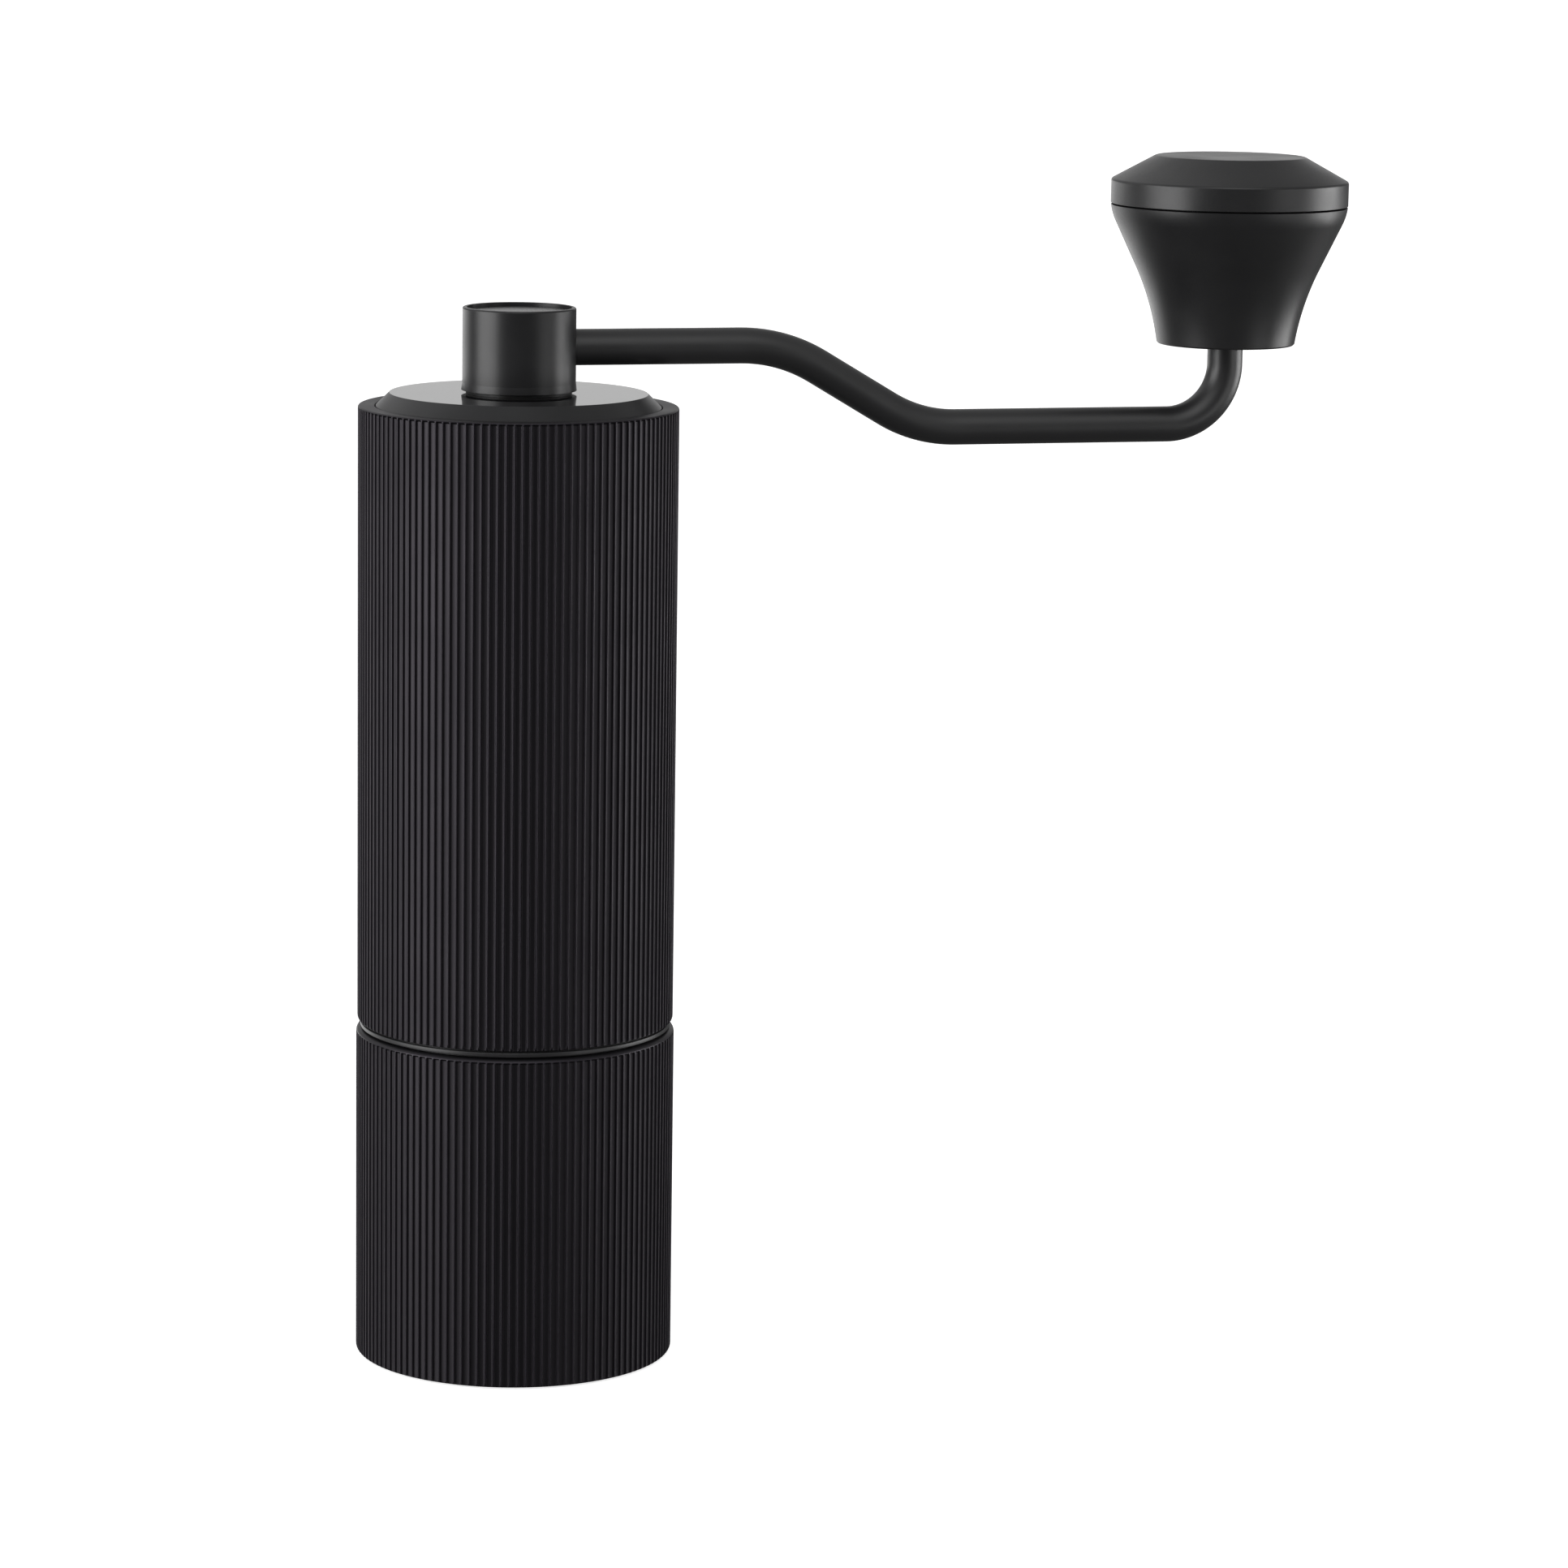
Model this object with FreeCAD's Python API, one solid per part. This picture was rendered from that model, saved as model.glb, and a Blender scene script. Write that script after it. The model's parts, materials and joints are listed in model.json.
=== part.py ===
"""Hand crank coffee grinder: one STEP file for each separate piece, in millimetres.

The body's axis is Z and the grinder stands on Z = 0, with the crank arm along +X.
"""

import FreeCAD, Part
import math
import os

Vector = FreeCAD.Vector
UP = Vector(0, 0, 1)
OUT = Vector(1, 0, 0)
PAST = 1.0  # how far a cutting shape runs past what it cuts

# fits and gaps
RUNNING = 0.05  # radial clearance of a part that turns or slides in another
SEATED = 0.02  # gap round a part that is pressed into another
REST_GAP = 0.05  # gap between a lid or a dial and what it rests on

# barrel and catch cup
BODY_R = 26.0
BARREL_FOOT = 56.05
BARREL_FOOT_ROUND = 0.8
RIM = 157.4
RIM_ROUND = 0.35
BORE = 22.6
MOUTH_R = 23.3
MOUTH_LEDGE = 151.0
CUP_R = 26.2
CUP_BASE = 0.3  # the cup's own underside, which the pad holds above the worktop
CUP_TOP = 54.85
CUP_BORE = 23.5
CUP_FLOOR = 3.4
CUP_FLOOR_ROUND = 4.0
CUP_FOOT_ROUND = 0.6
CUP_TOP_ROUND = 0.8
CUP_MOUTH_ROUND = 0.45
PAD_R = 21.5
PAD_RECESS = 1.2
PAD_GROOVE = (14.5, 15.5, 0.25)  # inner and outer radius, and depth

# grip ribs
RIBS = 124
RIB_DEPTH = 0.36
GROOVE_R = 0.53
SMOOTH_BAND = 0.4

# lower housing, with the seam ring and the spigot that the cup pushes onto
SEAM_R = 25.5
SEAM_LOW, SEAM_HIGH = 55.12, 55.85
SEAM_ROUND = 0.12
SHADOW_R = 24.9  # the shoulder above and below the seam ring
SHADOW_LOW, SHADOW_HIGH = 54.95, 56.0
SPIGOT_R = 23.25
SPIGOT_FOOT = 46.0
BURR_SEAT_R = 20.6
BURR_SHOULDER = 66.6
CHUTE_R = 18.5
FUNNEL_HEIGHT = 4.5
HOUSING_TOP = 78.0
HOUSING_LIP = 0.6
O_RING_LEVELS = (48.6, 52.2)
O_RING_WIRE = 1.02
O_RING_FLOOR_R = 22.4
O_RING_SLOT = 1.2
GRUB_R = 1.5
GRUB_LEVEL = 59.0
GRUB_KEY_R = 0.7

# spiders: levels of the arms and of the boss
ARM_ANGLES = (90, 210, 330)
ARM_WIDTH = 5.0
ARM_ROUND = 1.2
ARM_INNER = 8.0
BOSS_R = 10.6
BOSS_ROUND = 0.8
LOWER_ARMS, LOWER_BOSS = (70.5, 76.0), (68.6, 77.0)
UPPER_ARMS, UPPER_BOSS = (139.8, 145.2), (138.8, 147.0)
BRIDGE_RING = (139.0, 146.0)
BRIDGE_WALL = 1.8

# ball bearings, 8 x 16 x 5, and the snap rings over them
SHAFT_R = 4.0
BEARING_R = 8.0
BEARING_WIDTH = 5.0
BEARING_LIP = 0.8
BALL_R = 1.0
BALL_CIRCLE = 6.0
BALLS = 10
LAND = 0.9  # from the ball circle to the edge of either race
CAGE_HALF = (0.35, 1.5)  # half its thickness and half its height
SHIELD_INSET, SHIELD_THICK = 0.2, 0.3
LOWER_BEARING = 70.0
UPPER_BEARING = 140.5
SNAP_SLOT = (0.6, 0.7)  # depth and height
SNAP_RING = (7.3, 8.5, 0.6)  # inner and outer radius, and thickness

# drive shaft
SHAFT_FOOT = 38.6
HEX_FLATS = 6.9
THREAD_R = 3.45
THREAD_TOP = 49.5
JOURNAL_FOOT = 66.0
JOURNAL_TOP = 146.5
SHAFT_TOP = 162.5
CIRCLIP_SLOT = (3.65, 0.75)  # radius of its floor, and height
CIRCLIP = (3.67, 5.6, 0.7)  # inner and outer radius, and thickness

# burrs and the spring that presses the inner one down
BURR_FOOT = 50.8
BURR_BAND = 54.0
BURR_TOP = 67.0
BURR_FOOT_R, BURR_BAND_R, BURR_TOP_R = 17.1, 16.4, 8.0
BURR_BOSS_R = 11.5
BURR_GAP = 0.35
BURR_EDGE = 0.4
THROAT_R = 14.6
COARSE_FLUTES = 7
FINE_TEETH = 42
FINE_DEPTH = 0.3
FLUTE_DEPTH, THROAT_DEPTH = 1.7, 0.9
SPRING_R = 5.3
SPRING_WIRE = 0.9
SPRING_TURNS = 4
SPRING_FOOT = 60.0
SPRING_POCKET_R = 6.3
WASHER_R = 6.5
WASHER_THICK = 0.88

# adjuster dial and its click detents
DIAL_R = 13.5
DIAL_FOOT, DIAL_TOP = 41.0, 48.25
DIAL_HUB_R = 7.0
DIAL_HUB_HEIGHT = 2.0
SCALLOP_R = 2.4
SCALLOP_OUT = 1.5  # how far the scallops' centres lie outside the dial
CLICKS = 12
DIMPLE_R, DIMPLE_OUT = 0.9, 0.35
MARK_R, MARK_IN, MARK_DEPTH = 0.5, 2.4, 0.3
DETENT_R = 8.5
DETENT_BALL = 0.8
DETENT_TOP = 53.0
DETENT_SPRING = (0.55, 0.22)  # coil radius and wire

# lid
LID_R = 23.15
LID_SHOULDER = 157.3
LID_TOP = 159.5
LID_TOP_R = 20.92
LID_SKIRT = 1.6
LID_PLATE = 1.9
LID_BORE_R, LID_BOSS_R = 7.6, 9.6
LID_BOSS_FOOT = 153.0
LID_SEAL_LEVEL = 154.0
LID_SEAL_WIRE = 0.8
LID_SEAL_SLOT = (0.75, 1.2)  # depth and height
LID_BUSH_FOOT = 152.9
LID_BUSH_FLANGE_R = 8.6

# crank hub
HUB_R = 9.2
HUB_FLARE = 0.15
HUB_FOOT, HUB_TOP = 160.0, 173.4
HUB_LIP = 0.7
CAP_SINK = 0.6
CAP_THICK = 0.7
SOCKET_R = 6.2
SOCKET_FOOT, SOCKET_TOP = 151.4, 163.3
SOCKET_DEPTH = 162.9
SOCKET_CLIP = (151.9, 152.5)
SOCKET_CLIP_FLOOR_R, SOCKET_CLIP_R = 5.7, 7.3
SET_SCREW_R = 2.0
SET_SCREW_TOP = 172.0
SET_SCREW_KEY = (2.0, 1.2)  # across flats, and depth

# crank arm: where the tangents of its bends meet, and their radii
ARM_R = 2.95
ARM_HIGH, ARM_LOW = 166.8, 152.95
ARM_INNER_END = -6.0
BEND_START, BEND_END = 43.8, 67.15
CRANK_REACH = 120.3
BEND_RADII = (25.5, 23.0, 10.0)
PIN_FOOT, PIN_TOP = 166.0, 187.0
PIN_R = 2.5
PIN_TAPPED = 8.0
SCREW_R = 1.5
SCREW_LENGTH = 7.0
SCREW_HEAD = (2.75, 1.4)  # radius and height
KNOB_WASHER = (4.6, 0.68)  # radius and thickness

# knob
KNOB_FOOT = 166.3
KNOB_FOOT_R = 11.5
KNOB_FOOT_ROUND = 0.3
NECK_TOP, NECK_TOP_R = 179.0, 15.3
SLOPE_TOP, SLOPE_TOP_R = 186.5, 18.85
KNOB_SEAM = 189.5
KNOB_R = 19.7
BROW_IN, BROW_DROP = 0.05, 0.15  # how the shoulder falls short of the rim at the seam
KNOB_EDGE = 193.5
KNOB_TOP = 197.5
KNOB_TOP_R = 12.4
KNOB_WALL = 2.0
KNOB_CAP_WALL = 1.6
KNOB_CAP_TOP_WALL = 2.2
CAP_SPIGOT_FOOT = 187.6
HOLLOW_FOOT, HOLLOW_TOP = 169.5, 187.0
TOWER_R, TOWER_TOP = 7.2, 186.5
BUSH_R = 4.2
BUSH_FLANGE_R, BUSH_FLANGE_TOP = 5.2, 166.78
BUSH_LOW_TOP = 173.0
BUSH_HIGH_FOOT = 179.0


def round_corner(before, at, after, radius):
    """Where the arc that rounds a corner starts, its middle and where it ends."""
    back = (before - at).normalize()
    onward = (after - at).normalize()
    half = back.getAngle(onward) / 2
    to_centre = (back + onward).normalize()
    centre = at + to_centre * (radius / math.sin(half))
    reach = radius / math.tan(half)
    return at + back * reach, centre - to_centre * radius, at + onward * reach


def route(corners, closed):
    """A wire of straight runs in the XZ plane. A corner is (x, z) or (x, z, radius that rounds it)."""
    points = [Vector(c[0], 0, c[1]) for c in corners]
    radii = [c[2] if len(c) > 2 else 0 for c in corners]
    count = len(points)
    edges = []
    first = last = None
    for i, (at, radius) in enumerate(zip(points, radii)):
        if radius:
            start, middle, end = round_corner(points[i - 1], at, points[(i + 1) % count], radius)
        else:
            start = end = at
        if last and last.distanceToPoint(start) > 1e-6:
            edges.append(Part.LineSegment(last, start).toShape())
        if radius:
            edges.append(Part.Arc(start, middle, end).toShape())
        first = first or start
        last = end
    if closed:
        edges.append(Part.LineSegment(last, first).toShape())
    return Part.Wire(edges)


def turned(*corners):
    """A solid turned about Z, from its half outline of (radius, height) corners."""
    return Part.Face(route(corners, closed=True)).revolve(Vector(), UP, 360)


def tube(outer, inner, low, high):
    return turned((inner, low), (outer, low), (outer, high), (inner, high))


def rod(radius, low, high, x=0.0):
    return Part.makeCylinder(radius, high - low, Vector(x, 0, low))


def bar(radius, length, start, z):
    """A round bar along the X axis, from a distance off the grinder's axis."""
    return Part.makeCylinder(radius, length, Vector(start, 0, z), OUT)


def around(radius, angle, z=0.0):
    turn = math.radians(angle)
    return Vector(radius * math.cos(turn), radius * math.sin(turn), z)


def hexagon(flats, low, high):
    """A hexagonal bar on Z, with two of its corners on the X axis."""
    corner_r = flats / math.sqrt(3)
    corners = [around(corner_r, 60 * i, low) for i in range(7)]
    return Part.Face(Part.makePolygon(corners)).extrude(Vector(0, 0, high - low))


def turned_copies(shape, angles):
    copies = []
    for angle in angles:
        copy = shape.copy()
        copy.rotate(Vector(), UP, angle)
        copies.append(copy)
    return copies


def ring_of(shape, count):
    return turned_copies(shape, [360 * i / count for i in range(count)])


def c_ring(inner, outer, low, high, gap_angle, facing):
    """A snap ring: a flat ring with a gap."""
    ring = Part.Face(route([(inner, low), (outer, low), (outer, high), (inner, high)], closed=True))
    ring = ring.revolve(Vector(), UP, 360 - gap_angle)
    ring.rotate(Vector(), UP, facing + gap_angle / 2)
    return ring


def o_ring(inner_r, wire, z):
    return Part.makeTorus(inner_r + wire / 2, wire / 2, Vector(0, 0, z))


def coil(radius, wire, turns, low, high):
    """A helical spring between two levels, to the outside of its wire."""
    height = high - low - wire
    path = Part.makeHelix(height / turns, height, radius)
    along = Vector(0, 2 * math.pi * radius, height / turns)
    section = Part.Wire(Part.makeCircle(wire / 2, Vector(radius, 0, 0), along))
    spring = Part.Wire(path.Edges).makePipeShell([section], True, True)
    spring.translate(Vector(0, 0, low + wire / 2))
    return spring


def grooves(outer_r, low, high):
    """The round-bottomed grooves between the grip ribs."""
    groove = rod(GROOVE_R, low, high, outer_r - RIB_DEPTH + GROOVE_R)
    return ring_of(groove, RIBS)


def catch_cup():
    recess_top = CUP_BASE + PAD_RECESS
    cup = turned(
        (0, recess_top),
        (PAD_R + SEATED, recess_top),
        (PAD_R + SEATED, CUP_BASE),
        (CUP_R, CUP_BASE, CUP_FOOT_ROUND),
        (CUP_R, CUP_TOP, CUP_TOP_ROUND),
        (CUP_BORE, CUP_TOP, CUP_MOUTH_ROUND),
        (CUP_BORE, CUP_FLOOR, CUP_FLOOR_ROUND),
        (0, CUP_FLOOR),
    )
    return cup.cut(grooves(CUP_R, CUP_BASE - PAST, CUP_TOP - SMOOTH_BAND))


def cup_foot_pad():
    top = CUP_BASE + PAD_RECESS
    inner, outer, depth = PAD_GROOVE
    pad = turned((0, 0), (PAD_R, 0, 0.4), (PAD_R, top), (0, top))
    return pad.cut(tube(outer, inner, -PAST, depth))


def barrel_shell():
    barrel = turned(
        (BORE, BARREL_FOOT),
        (BODY_R, BARREL_FOOT, BARREL_FOOT_ROUND),
        (BODY_R, RIM, RIM_ROUND),
        (MOUTH_R, RIM, 0.15),
        (MOUTH_R, MOUTH_LEDGE),
        (BORE, MOUTH_LEDGE),
    )
    return barrel.cut(grooves(BODY_R, BARREL_FOOT - PAST, RIM - SMOOTH_BAND))


def spider(outer_r, arm_levels, boss_levels, bearing):
    """Three arms and a boss with a bearing's seat, its lip below and a snap ring's slot above."""
    low, high = arm_levels
    boss_low, boss_high = boss_levels
    slot_depth, slot_height = SNAP_SLOT
    bearing_top = bearing + BEARING_WIDTH
    arm = Part.makeBox(outer_r - ARM_INNER, ARM_WIDTH, high - low, Vector(ARM_INNER, -ARM_WIDTH / 2, low))
    arm = arm.makeFillet(ARM_ROUND, [e for e in arm.Edges if abs(e.tangentAt(0).x) > 0.9])
    boss = turned(
        (0, boss_low), (BOSS_R, boss_low, BOSS_ROUND), (BOSS_R, boss_high, BOSS_ROUND), (0, boss_high)
    )
    seat = rod(BEARING_R, bearing, boss_high + PAST)
    lip = rod(BEARING_R - BEARING_LIP, boss_low - PAST, bearing + PAST)
    slot = rod(BEARING_R + slot_depth, bearing_top, bearing_top + slot_height)
    return boss.fuse(turned_copies(arm, ARM_ANGLES)).cut([seat, lip, slot])


def screw_angles():
    """The grub screws are half way between the spider's arms."""
    return [angle + 60 for angle in ARM_ANGLES]


def lower_housing():
    sleeve_r = BORE - SEATED
    shell = turned(
        (BURR_SEAT_R, SPIGOT_FOOT, 0.3),
        (SPIGOT_R, SPIGOT_FOOT, 0.6),
        (SPIGOT_R, SHADOW_LOW),
        (SHADOW_R, SHADOW_LOW),
        (SHADOW_R, SEAM_LOW),
        (SEAM_R, SEAM_LOW, SEAM_ROUND),
        (SEAM_R, SEAM_HIGH, SEAM_ROUND),
        (SHADOW_R, SEAM_HIGH),
        (SHADOW_R, SHADOW_HIGH),
        (sleeve_r, SHADOW_HIGH),
        (sleeve_r, HOUSING_TOP),
        (sleeve_r - HOUSING_LIP, HOUSING_TOP),
        (CHUTE_R, HOUSING_TOP - FUNNEL_HEIGHT),
        (CHUTE_R, BURR_SHOULDER),
        (BURR_SEAT_R, BURR_SHOULDER),
    )
    arms = spider(sleeve_r - 0.8, LOWER_ARMS, LOWER_BOSS, LOWER_BEARING)
    half = O_RING_SLOT / 2
    slots = [tube(SPIGOT_R + PAST, O_RING_FLOOR_R, z - half, z + half) for z in O_RING_LEVELS]
    screw_hole = bar(GRUB_R, BORE - BURR_SEAT_R + 2 * PAST, BURR_SEAT_R - PAST, GRUB_LEVEL)
    return shell.fuse(arms).cut(slots + turned_copies(screw_hole, screw_angles()))


def burr_grub_screws():
    """Three screws that hold the outer burr in its seat."""
    length = BORE - SEATED - BURR_SEAT_R - 2 * RUNNING
    screw = bar(GRUB_R - SEATED, length, BURR_SEAT_R, GRUB_LEVEL)
    key = bar(GRUB_KEY_R, PAST, BURR_SEAT_R + length / 2, GRUB_LEVEL)
    return Part.makeCompound(turned_copies(screw.cut(key), screw_angles()))


def spigot_o_rings():
    return Part.makeCompound([o_ring(O_RING_FLOOR_R, O_RING_WIRE, z) for z in O_RING_LEVELS])


def upper_bridge():
    ring_r = BORE - SEATED
    inner_r = ring_r - BRIDGE_WALL
    low, high = BRIDGE_RING
    ring = turned((inner_r, low, 0.5), (ring_r, low), (ring_r, high), (inner_r, high, 0.5))
    return ring.fuse(spider(ring_r - 0.8, UPPER_ARMS, UPPER_BOSS, UPPER_BEARING))


def bearing(low):
    """The five parts of a shielded ball bearing."""
    high = low + BEARING_WIDTH
    middle = (low + high) / 2
    cage_wall, cage_half = CAGE_HALF
    raceway = Part.makeTorus(BALL_CIRCLE, BALL_R + 0.03, Vector(0, 0, middle))
    outer = tube(BEARING_R, BALL_CIRCLE + LAND, low, high).cut(raceway)
    inner = tube(BALL_CIRCLE - LAND, SHAFT_R, low, high).cut(raceway)
    ball = Part.makeSphere(BALL_R, Vector(BALL_CIRCLE, 0, middle))
    pocket = bar(BALL_R + RUNNING, 2 * BALL_R, BALL_CIRCLE - BALL_R, middle)
    cage = tube(BALL_CIRCLE + cage_wall, BALL_CIRCLE - cage_wall, middle - cage_half, middle + cage_half)
    shields = [
        tube(BALL_CIRCLE + LAND - SEATED, BALL_CIRCLE - LAND + 0.1, foot, foot + SHIELD_THICK)
        for foot in (low + SHIELD_INSET, high - SHIELD_INSET - SHIELD_THICK)
    ]
    return {
        "outer_race": outer,
        "inner_race": inner,
        "balls": Part.makeCompound(ring_of(ball, BALLS)),
        "cage": cage.cut(ring_of(pocket, BALLS)),
        "shields": Part.makeCompound(shields),
    }


def snap_ring(bearing_low):
    """The ring that holds a bearing down in its boss."""
    inner, outer, thick = SNAP_RING
    low = bearing_low + BEARING_WIDTH + SEATED
    return c_ring(inner, outer, low, low + thick, 40, facing=60)


def drive_shaft():
    body = rod(SHAFT_R, JOURNAL_FOOT, JOURNAL_TOP)
    pointed = turned((0, JOURNAL_TOP), (5, JOURNAL_TOP), (5, SHAFT_TOP, 1.4), (0, SHAFT_TOP))
    crank_drive = hexagon(HEX_FLATS, JOURNAL_TOP, SHAFT_TOP).common(pointed)
    burr_drive = hexagon(HEX_FLATS, THREAD_TOP, JOURNAL_FOOT)
    thread = turned((0, SHAFT_FOOT), (THREAD_R, SHAFT_FOOT, 0.5), (THREAD_R, THREAD_TOP), (0, THREAD_TOP))
    whole = body.fuse([crank_drive, burr_drive, thread]).removeSplitter()
    slot_low = UPPER_BEARING + BEARING_WIDTH
    slot_floor, slot_height = CIRCLIP_SLOT
    return whole.cut(tube(SHAFT_R + PAST, slot_floor, slot_low, slot_low + slot_height))


def shaft_circlip():
    inner, outer, thick = CIRCLIP
    low = UPPER_BEARING + BEARING_WIDTH + SEATED
    return c_ring(inner, outer, low, low + thick, 70, facing=240)


def spring_washer():
    high = LOWER_BEARING - SEATED
    return tube(WASHER_R, SHAFT_R + SEATED, high - WASHER_THICK, high)


def burr_spring():
    top = LOWER_BEARING - 2 * SEATED - WASHER_THICK
    return coil(SPRING_R, SPRING_WIRE, SPRING_TURNS, SPRING_FOOT + SEATED, top)


def skew_cut(low_r, low, high_r, high, twist, depth, outward=False):
    """A three-sided cutter that leans round a cone, from one radius and level to another."""
    side = -1 if outward else 1
    sections = []
    for radius, z, angle in ((low_r, low, 0), (high_r, high, twist)):
        half_width = math.degrees(depth * 1.1 / radius)
        lip = radius + side * depth * 0.6
        bottom = radius - side * depth
        points = [around(lip, angle - half_width, z), around(lip, angle + half_width, z)]
        points.append(around(bottom, angle + half_width * 0.8, z))
        sections.append(Part.makePolygon(points + points[:1]))
    return Part.makeLoft(sections, True, True)


def outer_burr():
    """The ring burr: a steep funnel of fine teeth under a wider throat of coarse ones."""
    seat_r = BURR_SEAT_R - SEATED
    foot = BURR_FOOT - 0.2
    top = BURR_SHOULDER - SEATED
    band_r = BURR_BAND_R + BURR_GAP
    foot_r = BURR_FOOT_R + BURR_GAP
    ring = turned(
        (foot_r, foot),
        (seat_r, foot, BURR_EDGE),
        (seat_r, top, BURR_EDGE),
        (THROAT_R, top),
        (band_r, BURR_BAND),
    )
    tooth = skew_cut(foot_r, foot - PAST, band_r, BURR_BAND + 0.6, 5, FINE_DEPTH, outward=True)
    throat = skew_cut(
        band_r, BURR_BAND - 0.4, THROAT_R + 0.3, top + PAST, -14, THROAT_DEPTH, outward=True
    )
    return ring.cut(ring_of(tooth, FINE_TEETH) + ring_of(throat, 3 * COARSE_FLUTES))


def inner_burr():
    """The cone burr, which slides on the shaft's hexagon and rests on the dial."""
    foot = DIAL_TOP + REST_GAP
    cone = turned(
        (0, foot),
        (BURR_BOSS_R, foot, 0.3),
        (BURR_BOSS_R, BURR_FOOT),
        (BURR_FOOT_R, BURR_FOOT),
        (BURR_BAND_R, BURR_BAND),
        (BURR_TOP_R, BURR_TOP, 0.6),
        (0, BURR_TOP),
    )
    tooth = skew_cut(BURR_FOOT_R, BURR_FOOT - PAST, BURR_BAND_R, BURR_BAND + 0.6, -5, FINE_DEPTH)
    flute = skew_cut(
        BURR_BAND_R - 0.4, BURR_BAND - 0.5, BURR_TOP_R - 0.6, BURR_TOP + PAST, 35, FLUTE_DEPTH
    )
    bore = hexagon(HEX_FLATS + 2 * RUNNING, foot - PAST, BURR_TOP + PAST)
    spring_pocket = rod(SPRING_POCKET_R, SPRING_FOOT, BURR_TOP + PAST)
    detents = ring_of(rod(DETENT_BALL + RUNNING, foot - PAST, DETENT_TOP, DETENT_R), 2)
    toothed = cone.cut(ring_of(tooth, FINE_TEETH) + ring_of(flute, COARSE_FLUTES))
    return toothed.cut([bore, spring_pocket] + detents)


def detent_balls():
    z = DIAL_TOP + REST_GAP + DETENT_BALL
    return Part.makeCompound(ring_of(Part.makeSphere(DETENT_BALL, Vector(DETENT_R, 0, z)), 2))


def detent_springs():
    foot = DIAL_TOP + REST_GAP + 2 * DETENT_BALL
    radius, wire = DETENT_SPRING
    spring = coil(radius, wire, 4, foot + SEATED, DETENT_TOP - SEATED)
    spring.translate(Vector(DETENT_R, 0, 0))
    return Part.makeCompound(ring_of(spring, 2))


def adjuster_dial():
    hub_top = DIAL_FOOT + DIAL_HUB_HEIGHT
    dial = turned(
        (0, DIAL_FOOT),
        (DIAL_HUB_R, DIAL_FOOT, 0.5),
        (DIAL_HUB_R, hub_top),
        (DIAL_R, hub_top, 0.8),
        (DIAL_R, DIAL_TOP, 0.5),
        (0, DIAL_TOP),
    )
    scallop = rod(SCALLOP_R, DIAL_FOOT, DIAL_TOP + PAST, DIAL_R + SCALLOP_OUT)
    dimple = Part.makeSphere(DIMPLE_R, Vector(DETENT_R, 0, DIAL_TOP + DIMPLE_OUT))
    mark = rod(MARK_R, DIAL_FOOT, hub_top + MARK_DEPTH, DIAL_R - MARK_IN)
    bore = rod(THREAD_R + RUNNING, DIAL_FOOT - PAST, DIAL_TOP + PAST)
    marks = turned_copies(mark, [360 * (i + 0.5) / CLICKS for i in range(CLICKS)])
    return dial.cut(ring_of(scallop, CLICKS) + ring_of(dimple, CLICKS) + marks + [bore])


def lid():
    hollow_top = LID_TOP - LID_PLATE
    foot = MOUTH_LEDGE + REST_GAP
    skirt_r = LID_R - LID_SKIRT
    slot_depth, slot_height = LID_SEAL_SLOT
    plate = turned(
        (LID_BORE_R, LID_BOSS_FOOT),
        (LID_BOSS_R, LID_BOSS_FOOT, 0.5),
        (LID_BOSS_R, hollow_top, 0.6),
        (skirt_r, hollow_top, 1.0),
        (skirt_r, foot, 0.3),
        (LID_R, foot, 0.3),
        (LID_R, LID_SHOULDER, 0.15),
        (LID_TOP_R, LID_TOP, 0.12),
        (LID_BORE_R, LID_TOP),
    )
    low, high = LID_SEAL_LEVEL - slot_height / 2, LID_SEAL_LEVEL + slot_height / 2
    return plate.cut(tube(LID_R + PAST, LID_R - slot_depth, low, high))


def lid_o_ring():
    return o_ring(LID_R - LID_SEAL_SLOT[0] + SEATED, LID_SEAL_WIRE, LID_SEAL_LEVEL)


def lid_bush():
    """The flanged bush that the crank's socket turns in."""
    bore = SOCKET_R + RUNNING
    sleeve_r = LID_BORE_R - SEATED
    flange_top = HUB_FOOT - REST_GAP
    return turned(
        (bore, LID_BUSH_FOOT),
        (sleeve_r, LID_BUSH_FOOT),
        (sleeve_r, LID_TOP + SEATED),
        (LID_BUSH_FLANGE_R, LID_TOP + SEATED),
        (LID_BUSH_FLANGE_R, flange_top),
        (bore, flange_top),
    )


def hub_socket():
    """The steel socket in the hub that fits over the shaft's hexagon."""
    body = turned((0, SOCKET_FOOT), (SOCKET_R, SOCKET_FOOT, 0.4), (SOCKET_R, SOCKET_TOP), (0, SOCKET_TOP))
    hole = hexagon(HEX_FLATS + 3 * RUNNING, SOCKET_FOOT - PAST, SOCKET_DEPTH)
    low, high = SOCKET_CLIP
    return body.cut([hole, tube(SOCKET_R + PAST, SOCKET_CLIP_FLOOR_R, low, high)])


def hub_circlip():
    """The ring that keeps the crank in the lid."""
    low, high = SOCKET_CLIP
    inner = SOCKET_CLIP_FLOOR_R + SEATED
    return c_ring(inner, SOCKET_CLIP_R, low + SEATED, high - SEATED, 60, facing=180)


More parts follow.
